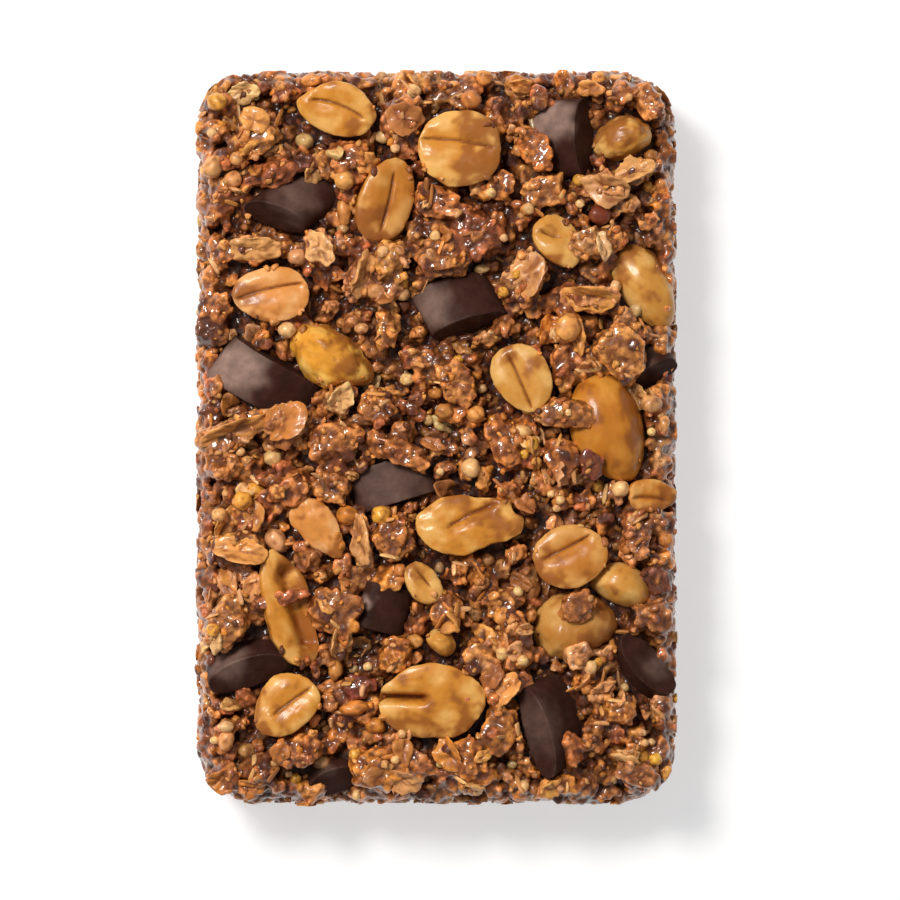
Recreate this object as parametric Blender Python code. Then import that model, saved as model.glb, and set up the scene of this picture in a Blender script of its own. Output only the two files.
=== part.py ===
"""A pressed granola bar with peanut halves and dark chocolate chunks set in its top.

The bar lies flat on the floor: +Z is up, +Y is the bar's length, the origin is the middle of its underside.
The granola itself is one solid, a bound core with its crisps, flakes and grains fused on.
Each peanut half and each chocolate chunk is a solid of its own, in a socket in the core.
"""

import math
import random

import bmesh
import bpy
from mathutils import Euler, Matrix, Vector
from mathutils.bvhtree import BVHTree

MM = 0.001

# The bound core, before its crisps are pressed on
CORE_WIDTH = 56.2 * MM
CORE_LENGTH = 86.2 * MM
CORE_HEIGHT = 13.8 * MM
CORNER_RADIUS = 6.4 * MM
CORNER_SEGMENTS = 5
SHOULDER_RADIUS = 3.6 * MM
SHOULDER_SEGMENTS = 3
BASE_CHAMFER = 1.2 * MM

# The free space between an inclusion and its socket
SOCKET_GAP = 0.32 * MM

# How a crisp or flake sits in the surface, as shares of its own width, and the sizes tried beside an inclusion
CRISP_THICKNESS = 0.88
CRISP_LIFT = 0.14
CRISP_SIDES = 6
CRISP_RINGS = 4
CRISP_UNEVENNESS = 0.11
CRISP_TIP = 10
SHRINK_STEPS = (1.0, 0.86, 0.74, 0.64)

# Loose filling of the top, the shoulders and the walls, all drawn from one seed
SEED = 11
TOP_FILL_TRIES = 900
TOP_FILL_MOST = 36
TOP_FILL_EDGE = 3.0 * MM
FILL_LENGTH = (3.2 * MM, 5.2 * MM)
FILL_SLIMNESS = (0.6, 0.85)
FILL_SPACING = 0.8
WALL_ROWS = (3.6 * MM, 7.6 * MM, 11.2 * MM)
WALL_PITCH = 9.3 * MM
WALL_STRAY = 0.3
WALL_STRAY_UP = 0.6 * MM
WALL_LEAN = 80
WALL_SINK = 0.22

# Peanut halves: middle x and y, turn of the long axis, length and width, which side is up,
# roll about the long axis, lift of the pointed end, and the height of the flat side. Millimetres and degrees.
PEANUTS = (
    (-11.8, 39.3, -12, 9.8, 7.0, "inner", 8, 4, 15.8),
    (2.8, 34.7, -6, 10.2, 9.0, "inner", -4, 0, 16.0),
    (-6.1, 28.5, 73, 10.4, 6.3, "inner", 14, 0, 15.8),
    (-19.8, 17.3, 10, 9.6, 6.7, "inner", -6, 0, 15.7),
    (-12.6, 9.9, -28, 9.8, 6.9, "outer", 4, 2, 14.2),
    (14.0, 23.6, -52, 7.4, 5.2, "inner", -12, 4, 15.2),
    (23.1, 36.1, 24, 7.0, 6.0, "outer", -8, 0, 12.6),
    (25.0, 18.2, -61, 11.8, 6.4, "outer", -28, 0, 11.4),
    (10.2, 7.1, -62, 9.3, 6.9, "inner", 5, 4, 15.8),
    (20.7, 1.1, -75, 13.3, 8.7, "outer", -6, 0, 13.2),
    (4.1, -10.4, 4, 12.6, 7.3, "inner", -5, 0, 15.6),
    (16.2, -14.2, 31, 9.3, 7.2, "inner", -6, 0, 16.0),
    (22.2, -17.8, -16, 7.3, 5.6, "outer", -6, 0, 13.2),
    (-17.7, -20.2, -73, 14.2, 6.6, "inner", -24, 0, 15.2),
    (-17.9, -32.0, 40, 9.2, 6.8, "inner", -6, 0, 15.9),
    (-0.2, -31.9, -14, 13.2, 9.4, "inner", 6, 0, 15.5),
    (16.7, -22.9, 84, 8.8, 9.4, "outer", 0, 0, 12.3),
    (-1.4, -17.1, -62, 5.2, 4.0, "inner", -10, 8, 15.6),
    (25.6, -7.0, -4, 6.2, 4.2, "inner", 0, -14, 14.2),
    (-14.3, -10.9, -50, 8.6, 4.4, "inner", 12, 0, 15.2),
    (0.6, -24.5, -30, 4.2, 3.6, "outer", 8, 12, 13.8),
)
PEANUT_THICKNESS = 3.5 * MM
PEANUT_FACE_BULGE = 0.45 * MM
PEANUT_GROOVE = 0.5 * MM
PEANUT_GROOVE_SHARE = 0.3
FULL_THICKNESS_WIDTH = 6.0
PEANUT_TAPER = 0.16
PEANUT_SIDES = 10
PEANUT_RINGS = 5

# Chocolate chunks, slices of a lens-shaped rod: middle x and y, turn of the lens, the lens's width and thickness,
# the slice's run and how far it slants, tilt about the width, tilt about the run, and the middle's height.
CHUNKS = (
    (-17.0, 28.2, -20, 7.8, 4.4, 6.6, 3.3, -38, 0, 12.8),
    (15.4, 36.0, -88, 9.4, 4.4, 6.0, 0.0, 32, 0, 12.8),
    (2.8, 15.8, 17, 9.6, 4.4, 6.0, -1.2, -24, 0, 13.0),
    (-20.6, 7.0, -29, 12.6, 4.0, 6.0, 0.8, 14, -7, 12.5),
    (-5.3, -5.5, 17, 10.2, 3.6, 5.2, 0.0, -6, 0, 12.4),
    (25.5, 8.6, 32, 6.4, 3.8, 4.2, 0.0, -42, 0, 11.5),
    (-6.2, -20.6, -15, 6.2, 3.4, 5.6, 0.0, 0, -22, 13.0),
    (-22.8, -27.2, 18, 10.0, 4.4, 5.4, 0.0, -58, 3, 12.2),
    (14.0, -34.3, -74, 11.2, 4.2, 7.0, -1.5, -48, 0, 12.8),
    (24.9, -27.7, -49, 9.0, 4.2, 4.2, 0.0, 62, 0, 12.0),
    (-12.6, -40.4, 20, 6.6, 4.0, 4.4, 0.0, -52, 0, 11.2),
)
CHUNK_TOP_SHARE = 0.6
CHUNK_TOP_STEPS = 6
CHUNK_BELOW_STEPS = 4
CHUNK_EDGE = 0.7 * MM

# Crisps, kernels and flakes that show on the top: middle x and y, length, width and turn. Millimetres and degrees.
CRISPS = (
    (-21.8, 35.8, 6.0, 3.6, 25),
    (-19.8, 31.7, 5.8, 3.4, 15),
    (-10.1, 33.2, 5.6, 5.0, 0),
    (-13.9, 22.7, 4.2, 3.2, -50),
    (-9.0, 19.4, 6.0, 3.2, 75),
    (-5.3, 21.1, 5.5, 3.9, 80),
    (0.5, 21.2, 6.6, 4.4, 10),
    (0.3, 28.1, 5.4, 4.2, -10),
    (-21.7, 22.7, 6.4, 2.8, 5),
    (-26.2, 15.5, 3.6, 3.0, 60),
    (-4.2, 38.5, 5.0, 4.6, 0),
    (12.2, 34.5, 4.8, 3.4, -70),
    (13.0, 29.6, 5.0, 3.4, 15),
    (7.9, 30.4, 3.8, 2.8, 60),
    (4.8, 24.7, 6.0, 5.4, -40),
    (21.9, 41.0, 3.6, 2.8, 60),
    (25.4, 40.4, 4.6, 2.6, -58),
    (20.2, 30.2, 6.0, 3.4, -10),
    (23.6, 31.8, 5.4, 2.6, 20),
    (18.1, 23.3, 4.6, 3.4, 20),
    (10.7, 19.0, 6.0, 4.4, 60),
    (18.5, 16.7, 6.6, 3.2, -5),
    (-26.4, 11.7, 6.8, 4.6, 72),
    (-5.8, 12.8, 4.2, 2.6, 80),
    (-11.3, 4.7, 4.0, 3.2, 60),
    (-7.3, 3.7, 4.4, 4.0, -40),
    (2.4, 6.8, 5.4, 4.0, -65),
    (-24.8, 0.4, 8.2, 3.2, 22),
    (-25.8, -3.4, 4.3, 3.8, 0),
    (-12.1, -0.3, 6.8, 4.8, 10),
    (-17.3, -6.4, 5.0, 4.4, 45),
    (-12.4, -5.8, 4.2, 4.0, 0),
    (-5.0, -12.0, 5.0, 4.4, 40),
    (-8.9, -12.4, 6.6, 2.4, -80),
    (-23.5, -13.3, 5.8, 3.6, -12),
    (-3.8, -2.1, 5.6, 2.8, -22),
    (22.2, 10.4, 6.8, 5.4, -50),
    (15.2, 8.8, 4.8, 2.6, 85),
    (15.8, 13.0, 4.0, 3.4, 80),
    (8.4, -0.7, 5.2, 4.2, -60),
    (15.0, -2.5, 5.0, 3.8, -70),
    (13.4, 3.2, 5.4, 3.2, -8),
    (24.1, -12.4, 6.0, 3.2, 72),
    (-25.0, -22.7, 6.6, 4.6, 62),
    (-20.6, -19.7, 3.6, 2.6, 25),
    (-12.2, -20.9, 6.2, 5.2, -20),
    (-11.3, -24.7, 3.6, 2.6, 80),
    (-4.8, -26.0, 3.9, 3.6, 0),
    (-9.2, -29.9, 4.0, 2.8, 0),
    (-16.3, -37.5, 5.4, 4.2, 30),
    (-7.2, -39.8, 6.0, 4.6, -20),
    (-3.0, -38.5, 6.4, 2.4, -40),
    (1.1, -20.5, 4.0, 3.8, 0),
    (5.5, -26.7, 4.8, 4.0, -60),
    (9.6, -24.4, 7.0, 3.8, -72),
    (7.9, -19.9, 4.0, 2.8, 20),
    (17.2, -26.2, 3.4, 3.0, 0),
    (7.8, -30.1, 4.2, 3.8, 50),
    (7.6, -35.2, 5.8, 4.3, 70),
    (3.8, -39.2, 6.2, 4.6, -60),
    (26.2, -21.6, 4.6, 4.2, 0),
    (26.4, -17.0, 3.6, 3.4, 0),
    (15.8, -37.3, 4.2, 3.2, -70),
    (18.8, -35.8, 4.0, 2.2, 85),
    (22.0, -33.0, 3.8, 3.2, 0),
    (24.4, -40.4, 4.6, 3.0, -15),
    (19.9, -30.6, 3.4, 2.6, 30),
    (-18.2, 1.9, 4.8, 4.4, 30),
)


def clear_scene():
    for obj in list(bpy.data.objects):
        bpy.data.objects.remove(obj, do_unlink=True)


def make_material(name, colour, roughness, metallic=0.0):
    material = bpy.data.materials.new(name)
    material.use_nodes = True
    shader = material.node_tree.nodes["Principled BSDF"]
    shader.inputs["Base Color"].default_value = (*colour, 1.0)
    shader.inputs["Roughness"].default_value = roughness
    shader.inputs["Metallic"].default_value = metallic
    return material


def add_object(name, shape, material=None, collection=None):
    """Turns a bmesh into an object, with its faces pointing out."""
    bmesh.ops.recalc_face_normals(shape, faces=shape.faces)
    mesh = bpy.data.meshes.new(name)
    shape.to_mesh(mesh)
    shape.free()
    obj = bpy.data.objects.new(name, mesh)
    (collection or bpy.context.scene.collection).objects.link(obj)
    if material:
        mesh.materials.append(material)
    return obj


def placement(x, y, z, turn, roll, lift):
    """Where a piece goes: rolled about its long axis, its far end lifted, then turned on the bar."""
    spin = Euler((math.radians(roll), math.radians(-lift), math.radians(turn)), "XYZ")
    return Matrix.Translation(Vector((x, y, z))) @ spin.to_matrix().to_4x4()


def shape_core():
    """The pressed block: rounded corners in plan, a rounded shoulder above and a small chamfer below."""
    shape = bmesh.new()
    bmesh.ops.create_cube(shape, size=1.0)
    bmesh.ops.scale(shape, vec=(CORE_WIDTH, CORE_LENGTH, CORE_HEIGHT), verts=shape.verts)
    bmesh.ops.translate(shape, vec=(0, 0, CORE_HEIGHT / 2), verts=shape.verts)
    upright = [e for e in shape.edges if abs(e.verts[0].co.z - e.verts[1].co.z) > CORE_HEIGHT / 2]
    bmesh.ops.bevel(
        shape, geom=upright, offset=CORNER_RADIUS, segments=CORNER_SEGMENTS, profile=0.5, affect="EDGES"
    )
    for height, offset, segments in (
        (CORE_HEIGHT, SHOULDER_RADIUS, SHOULDER_SEGMENTS),
        (0.0, BASE_CHAMFER, 1),
    ):
        rim = [e for e in shape.edges if all(abs(v.co.z - height) < 0.01 * MM for v in e.verts)]
        bmesh.ops.bevel(shape, geom=rim, offset=offset, segments=segments, profile=0.5, affect="EDGES")
    return shape


def shape_peanut(length, width, thickness):
    """Half a kernel, long in X: its round back is below, and its inner face, with a groove along it, above."""
    shape = bmesh.new()
    bmesh.ops.create_uvsphere(shape, u_segments=PEANUT_SIDES, v_segments=PEANUT_RINGS, radius=1.0)
    bmesh.ops.rotate(shape, matrix=Matrix.Rotation(math.pi / 2, 3, "Y"), verts=shape.verts)
    for vert in shape.verts:
        x, y, z = vert.co
        depth = thickness if z < 0 else PEANUT_FACE_BULGE
        dip = PEANUT_GROOVE * math.exp(-((y / PEANUT_GROOVE_SHARE) ** 2)) * (1 - x * x) if z > 0.1 else 0.0
        vert.co = (x * length / 2, y * width / 2 * (1 - PEANUT_TAPER * x), z * depth - dip)
    return shape


def shape_chunk(width, thickness, run, slant):
    """A slice of a chocolate rod: a lens outline in X and Z, run along Y, about its own middle."""
    shape = bmesh.new()
    outline = []
    bulge = thickness - CHUNK_EDGE
    for share, steps, side in ((CHUNK_TOP_SHARE, CHUNK_TOP_STEPS, 1), (1 - CHUNK_TOP_SHARE, CHUNK_BELOW_STEPS, -1)):
        for step in range(steps + 1):
            angle = math.pi * step / steps
            rise = CHUNK_EDGE / 2 + bulge * share * math.sin(angle)
            outline.append((side * width / 2 * math.cos(angle), side * rise))
    verts = [shape.verts.new((x - slant / 2, -run / 2, z)) for x, z in outline]
    front = shape.faces.new(verts)
    moved = bmesh.ops.extrude_face_region(shape, geom=[front])["geom"]
    bmesh.ops.translate(
        shape, vec=(slant, run, 0), verts=[item for item in moved if isinstance(item, bmesh.types.BMVert)]
    )
    return shape


def swell(shape, gap):
    """Moves every face outward by this gap, for the socket that a shape sits in."""
    bmesh.ops.recalc_face_normals(shape, faces=shape.faces)
    shape.normal_update()
    moves = [(vert, vert.normal * vert.calc_shell_factor() * gap) for vert in shape.verts]
    for vert, move in moves:
        vert.co += move


def inclusion_shapes(gap=0.0):
    """Yields the name, kind and placed shape of each peanut half and chocolate chunk, or of its socket."""
    for number, (x, y, turn, length, width, up, roll, lift, height) in enumerate(PEANUTS, 1):
        thickness = PEANUT_THICKNESS * min(1.0, width / FULL_THICKNESS_WIDTH)
        shape = shape_peanut(length * MM, width * MM, thickness)
        if up == "outer":
            bmesh.ops.rotate(shape, matrix=Matrix.Rotation(math.pi, 3, "X"), verts=shape.verts)
        swell(shape, gap)
        place = placement(x * MM, y * MM, height * MM, turn, roll, lift)
        bmesh.ops.transform(shape, matrix=place, verts=shape.verts)
        yield f"peanut_half_{number:02d}", "peanut", shape
    for number, (x, y, turn, width, thickness, run, slant, tilt, lift, height) in enumerate(CHUNKS, 1):
        shape = shape_chunk(width * MM, thickness * MM, run * MM, slant * MM)
        swell(shape, gap)
        place = placement(x * MM, y * MM, height * MM, turn, tilt, lift)
        bmesh.ops.transform(shape, matrix=place, verts=shape.verts)
        yield f"chocolate_chunk_{number:02d}", "chocolate", shape


def shape_crisp(length, width, thickness, draw):
    """A puffed crisp, long in X, its corners moved a little so that no two are alike."""
    shape = bmesh.new()
    bmesh.ops.create_uvsphere(shape, u_segments=CRISP_SIDES, v_segments=CRISP_RINGS, radius=1.0)
    bmesh.ops.rotate(shape, matrix=Matrix.Rotation(math.pi / 2, 3, "Y"), verts=shape.verts)
    for vert in sorted(shape.verts, key=lambda v: [round(c, 4) for c in v.co]):
        x, y, z = vert.co * (1 + draw.uniform(-CRISP_UNEVENNESS, CRISP_UNEVENNESS))
        vert.co = (x * length / 2, y * width / 2, z * thickness / 2)
    return shape


def outline_point(distance, width, length, radius):
    """A point and its outward direction, this far along a rounded rectangle's outline."""
    straights = (length - 2 * radius, width - 2 * radius) * 2
    corners = ((1, 1), (-1, 1), (-1, -1), (1, -1))
    arc = radius * math.pi / 2
    distance %= 2 * sum(straights[:2]) + 4 * arc
    for side in range(4):
        heading = math.pi / 2 * side
        ahead = Vector((-math.sin(heading), math.cos(heading)))
        out = Vector((math.cos(heading), math.sin(heading)))
        sign = corners[side]
        centre = Vector((sign[0] * (width / 2 - radius), sign[1] * (length / 2 - radius)))
        if distance < straights[side]:
            return centre - ahead * (straights[side] - distance) + out * radius, out
        distance -= straights[side]
        if distance < arc:
            turned = heading + distance / radius
            out = Vector((math.cos(turned), math.sin(turned)))
            return centre + out * radius, out
        distance -= arc
    raise ValueError("the distance is past the outline's end")


def outline_length(width, length, radius):
    return 2 * (width + length - 4 * radius) + 2 * math.pi * radius


class Fill:
    """Collects the crisps that the core gets, and leaves out any that would cross an inclusion."""

    def __init__(self, draw):
        self.draw = draw
        self.shapes = []
        self.spots = []
        self.sockets = []
        for _, _, shape in inclusion_shapes(SOCKET_GAP):
            self.sockets.append((surface_tree(shape), face_planes(shape)))
            shape.free()

    def is_clear(self, shape, middle):
        tree = surface_tree(shape)
        return not any(tree.overlap(walls) or is_inside(planes, middle) for walls, planes in self.sockets)

    def is_free(self, spot, reach):
        return all((spot - other).length > FILL_SPACING * (reach + room) for other, room in self.spots)

    def add(self, length, width, place):
        """Puts a crisp in place, made shorter or left out where it would cross a peanut or a chunk."""
        for share in SHRINK_STEPS:
            shape = shape_crisp(length * share, width * share, width * CRISP_THICKNESS, self.draw)
            bmesh.ops.transform(shape, matrix=place, verts=shape.verts)
            if self.is_clear(shape, place.translation):
                self.shapes.append(shape)
                self.spots.append((place.translation.copy(), (length + width) / 4 * share))
                return True
            shape.free()
        return False

    def add_named_crisps(self):
        for x, y, length, width, turn in CRISPS:
            height = CORE_HEIGHT + CRISP_LIFT * width * MM - shoulder_drop(x * MM, y * MM)
            place = placement(x * MM, y * MM, height, turn, 0, self.draw.uniform(-CRISP_TIP, CRISP_TIP))
            if not self.add(length * MM, width * MM, place):
                print("left out, as it would cross an inclusion: crisp at", x, y)

    def add_top_fill(self):
        added = 0
        for _ in range(TOP_FILL_TRIES):
            x = self.draw.uniform(-1, 1) * (CORE_WIDTH / 2 - TOP_FILL_EDGE)
            y = self.draw.uniform(-1, 1) * (CORE_LENGTH / 2 - TOP_FILL_EDGE)
            length = self.draw.uniform(*FILL_LENGTH)
            width = length * self.draw.uniform(*FILL_SLIMNESS)
            turn = self.draw.uniform(0, 180)
            height = CORE_HEIGHT + CRISP_LIFT * width - shoulder_drop(x, y)
            if added < TOP_FILL_MOST and self.is_free(Vector((x, y, height)), (length + width) / 4):
                added += self.add(length, width, placement(x, y, height, turn, 0, 0))

    def add_wall_fill(self):
        """Rows of crisps pressed nearly flush into the walls, in a staggered, uneven bond."""
        round_the_bar = outline_length(CORE_WIDTH, CORE_LENGTH, CORNER_RADIUS)
        count = int(round_the_bar / WALL_PITCH)
        for row, row_height in enumerate(WALL_ROWS):
            for step in range(count):
                along = (step + 0.5 * (row % 2) + self.draw.uniform(-WALL_STRAY, WALL_STRAY)) * round_the_bar / count
                spot, out = outline_point(along, CORE_WIDTH, CORE_LENGTH, CORNER_RADIUS)
                length = self.draw.uniform(*FILL_LENGTH)
                width = length * self.draw.uniform(*FILL_SLIMNESS)
                height = row_height + self.draw.uniform(-WALL_STRAY_UP, WALL_STRAY_UP)
                inward = WALL_SINK * width + wall_draft(height)
                facing = Matrix((
                    (-out.y, 0, out.x, spot.x - out.x * inward),
                    (out.x, 0, out.y, spot.y - out.y * inward),
                    (0, 1, 0, height),
                    (0, 0, 0, 1),
                ))
                lean = Matrix.Rotation(math.radians(self.draw.uniform(-WALL_LEAN, WALL_LEAN)), 4, "Z")
                self.add(length, width, facing @ lean)


def surface_tree(shape):
    shape.verts.index_update()
    faces = [[vert.index for vert in face.verts] for face in shape.faces]
    return BVHTree.FromPolygons([vert.co for vert in shape.verts], faces)


def face_planes(shape):
    shape.normal_update()
    return [(face.calc_center_median(), face.normal.copy()) for face in shape.faces]


def is_inside(planes, point):
    """Whether a point lies behind every face of a shape, give or take the dip of a groove."""
    return all((point - spot).dot(normal) < PEANUT_GROOVE for spot, normal in planes)


def shoulder_drop(x, y):
    """How far the core's top has fallen away at this point near its edge."""
    inset = min(CORE_WIDTH / 2 - abs(x), CORE_LENGTH / 2 - abs(y))
    if inset >= SHOULDER_RADIUS:
        return 0.0
    across = SHOULDER_RADIUS - max(inset, 0.0)
    return SHOULDER_RADIUS - math.sqrt(SHOULDER_RADIUS**2 - across**2)


def wall_draft(height):
    """How far the wall has drawn in at this height, where the shoulder begins."""
    above = max(0.0, height - (CORE_HEIGHT - SHOULDER_RADIUS))
    return SHOULDER_RADIUS - math.sqrt(SHOULDER_RADIUS**2 - above**2)


def apply_boolean(obj, operation, collection):
    """Cuts or joins a whole collection with one Boolean, applies it and removes the collection's objects."""
    modifier = obj.modifiers.new(operation.title(), "BOOLEAN")
    modifier.operation = operation
    modifier.operand_type = "COLLECTION"
    modifier.collection = collection
    modifier.solver = "EXACT"
    bpy.context.view_layer.objects.active = obj
    bpy.ops.object.modifier_apply(modifier=modifier.name)
    for helper in list(collection.objects):
        bpy.data.objects.remove(helper, do_unlink=True)
    bpy.data.collections.remove(collection)


def keep_one_body(obj):
    """Drops any scrap that a Boolean left loose."""
    shape = bmesh.new()
    shape.from_mesh(obj.data)
    unseen = set(shape.verts)
    bodies = []
    while unseen:
        front = [unseen.pop()]
        body = list(front)
        while front:
            for edge in front.pop().link_edges:
                for vert in edge.verts:
                    if vert in unseen:
                        unseen.remove(vert)
                        front.append(vert)
                        body.append(vert)
        bodies.append(body)
    bodies.sort(key=len, reverse=True)
    for body in bodies[1:]:
        print("dropped a loose scrap at", [round(c / MM, 1) for c in body[0].co])
        bmesh.ops.delete(shape, geom=body, context="VERTS")
    shape.to_mesh(obj.data)
    shape.free()


def helper_collection(name):
    collection = bpy.data.collections.new(name)
    bpy.context.scene.collection.children.link(collection)
    return collection


def add_helper(name, shape, collection):
    helper = add_object(name, shape, collection=collection)
    helper.hide_render = True
    helper.display_type = "WIRE"


def build_granola(material):
    granola = add_object("granola_mass", shape_core(), material)
    sockets = helper_collection("Sockets")
    for name, _, shape in inclusion_shapes(SOCKET_GAP):
        add_helper("socket_" + name, shape, sockets)
    apply_boolean(granola, "DIFFERENCE", sockets)
    fill = Fill(random.Random(SEED))
    fill.add_named_crisps()
    fill.add_top_fill()
    fill.add_wall_fill()
    crisps = helper_collection("Crisps")
    for number, shape in enumerate(fill.shapes, 1):
        add_helper(f"crisp_{number:03d}", shape, crisps)
    apply_boolean(granola, "UNION", crisps)
    keep_one_body(granola)
    print("granola_mass:", len(fill.shapes), "crisps fused on")


def build_inclusions(materials):
    for name, kind, shape in inclusion_shapes():
        inclusion = add_object(name, shape, materials[kind])
        if kind == "peanut":
            inclusion.data.shade_smooth()


def main():
    clear_scene()
    materials = {
        "granola": make_material("toasted_granola", (0.22, 0.075, 0.022), 0.35),
        "peanut": make_material("roasted_peanut", (0.62, 0.30, 0.08), 0.32),
        "chocolate": make_material("dark_chocolate", (0.040, 0.018, 0.012), 0.38),
    }
    build_granola(materials["granola"])
    build_inclusions(materials)
    for obj in bpy.context.scene.objects:
        print(obj.name, sum(len(p.vertices) - 2 for p in obj.data.polygons), "triangles")


main()
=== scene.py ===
import math
import random

import bmesh
import bpy
import numpy as np
from mathutils import Euler, Matrix, Vector, noise
from mathutils.bvhtree import BVHTree


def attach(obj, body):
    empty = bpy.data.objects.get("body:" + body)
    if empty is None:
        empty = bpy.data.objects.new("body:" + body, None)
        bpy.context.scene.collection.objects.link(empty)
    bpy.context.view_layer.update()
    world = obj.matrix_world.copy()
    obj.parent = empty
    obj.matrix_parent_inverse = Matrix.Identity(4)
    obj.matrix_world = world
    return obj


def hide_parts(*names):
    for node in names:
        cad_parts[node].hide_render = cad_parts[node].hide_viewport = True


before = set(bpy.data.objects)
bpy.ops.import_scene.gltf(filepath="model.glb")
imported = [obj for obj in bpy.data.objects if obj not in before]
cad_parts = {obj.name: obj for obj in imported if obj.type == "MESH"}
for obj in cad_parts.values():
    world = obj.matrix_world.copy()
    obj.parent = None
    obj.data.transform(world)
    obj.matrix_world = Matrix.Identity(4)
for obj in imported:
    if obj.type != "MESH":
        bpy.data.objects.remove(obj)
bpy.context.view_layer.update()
mm = 0.001
noiseReach = 40  # how far apart two pieces may read the same noise

# Base colours of the grains, crisps and flakes
tones = {
    "golden": (0.75, 0.305, 0.070),
    "amber": (0.57, 0.205, 0.042),
    "orange": (0.66, 0.225, 0.030),
    "redBrown": (0.38, 0.105, 0.024),
    "peach": (0.75, 0.345, 0.135),
    "tan": (0.67, 0.310, 0.100),
    "brown": (0.40, 0.140, 0.036),
    "dark": (0.14, 0.040, 0.015),
    "pale": (0.88, 0.485, 0.190),
    "yellow": (0.84, 0.375, 0.045),
    "red": (0.18, 0.032, 0.013),
}
syrupColour = (0.090, 0.023, 0.009)
# Dark syrup deepened by painted shade, for the granola's deep gaps and creases
deepSyrupAndShadeColour = (0.026, 0.007, 0.0035)


def placement(x, y, z, turn, roll, lift):
    spin = Euler((math.radians(roll), math.radians(-lift), math.radians(turn)), "XYZ")
    return Matrix.Translation((x, y, z)) @ spin.to_matrix().to_4x4()


def addPiece(name, mesh, material, slot, *nodes):
    piece = bpy.data.objects.new(name, mesh)
    bpy.context.scene.collection.objects.link(piece)
    mesh.materials.clear()
    mesh.materials.append(material)
    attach(piece, "root")
    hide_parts(*nodes)
    return piece


def meshFrom(shape, name):
    mesh = bpy.data.meshes.new(name)
    shape.to_mesh(mesh)
    shape.free()
    mesh.shade_smooth()
    return mesh


def readValues(source, key, size):
    flat = np.empty(len(source) * size, np.float32)
    source.foreach_get(key, flat)
    return flat.reshape(-1, size).astype(float)


def readPoints(mesh):
    return readValues(mesh.vertices, "co", 3)


def writePoints(mesh, points):
    mesh.vertices.foreach_set("co", points.astype(np.float32).ravel())
    mesh.update()


def readNormals(mesh):
    return readValues(mesh.vertex_normals, "vector", 3)


def writeColour(mesh, name, colours):
    layer = mesh.attributes.get(name) or mesh.attributes.new(name, "FLOAT_COLOR", "POINT")
    full = np.ones((len(mesh.vertices), 4), np.float32)
    full[:, : colours.shape[1]] = colours
    layer.data.foreach_set("color", full.ravel())


def readColour(mesh, name):
    return readValues(mesh.attributes[name].data, "color", 4)


# Averages values over a mesh's edges
class Neighbours:
    def __init__(self, mesh):
        flat = np.empty(len(mesh.edges) * 2, np.int32)
        mesh.edges.foreach_get("vertices", flat)
        pairs = flat.reshape(-1, 2)
        self.to = np.concatenate([pairs[:, 0], pairs[:, 1]])
        self.source = np.concatenate([pairs[:, 1], pairs[:, 0]])
        self.count = np.bincount(self.to, minlength=len(mesh.vertices)).clip(1)

    def average(self, values, rounds, share=0.5):
        values = values.copy()
        for _ in range(rounds):
            for column in range(values.shape[1]):
                total = np.bincount(self.to, values[self.source, column], minlength=len(self.count))
                values[:, column] += share * (total / self.count - values[:, column])
        return values


def randomVector(draw, reach):
    return Vector([draw.uniform(-reach, reach) for _ in range(3)])


def smoothStep(low, high, values):
    share = np.clip((values - low) / (high - low), 0, 1)
    return share * share * (3 - 2 * share)


# Where the peanuts and the chocolate lie, as in the solids. Millimetres and degrees.
# x, y, turn, length, width, side up, roll, lift, height of the flat side
peanutPlaces = (
    (-11.8, 39.3, -12, 9.8, 7.0, "inner", 8, 4, 15.8),
    (2.8, 34.7, -6, 10.2, 9.0, "inner", -4, 0, 16.0),
    (-6.1, 28.5, 73, 10.4, 6.3, "inner", 14, 0, 15.8),
    (-19.8, 17.3, 10, 9.6, 6.7, "inner", -6, 0, 15.7),
    (-12.6, 9.9, -28, 9.8, 6.9, "outer", 4, 2, 14.2),
    (14.0, 23.6, -52, 7.4, 5.2, "inner", -12, 4, 15.2),
    (23.1, 36.1, 24, 7.0, 6.0, "outer", -8, 0, 12.6),
    (25.0, 18.2, -61, 11.8, 6.4, "outer", -28, 0, 11.4),
    (10.2, 7.1, -62, 9.3, 6.9, "inner", 5, 4, 15.8),
    (20.7, 1.1, -75, 13.3, 8.7, "outer", -6, 0, 13.2),
    (4.1, -10.4, 4, 12.6, 7.3, "inner", -5, 0, 15.6),
    (16.2, -14.2, 31, 9.3, 7.2, "inner", -6, 0, 16.0),
    (22.2, -17.8, -16, 7.3, 5.6, "outer", -6, 0, 13.2),
    (-17.7, -20.2, -73, 14.2, 6.6, "inner", -24, 0, 15.2),
    (-17.9, -32.0, 40, 9.2, 6.8, "inner", -6, 0, 15.9),
    (-0.2, -31.9, -14, 13.2, 9.4, "inner", 6, 0, 15.5),
    (16.7, -22.9, 84, 8.8, 9.4, "outer", 0, 0, 12.3),
    (-1.4, -17.1, -62, 5.2, 4.0, "inner", -10, 8, 15.6),
    (25.6, -7.0, -4, 6.2, 4.2, "inner", 0, -14, 14.2),
    (-14.3, -10.9, -50, 8.6, 4.4, "inner", 12, 0, 15.2),
    (0.6, -24.5, -30, 4.2, 3.6, "outer", 8, 12, 13.8),
)
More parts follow.
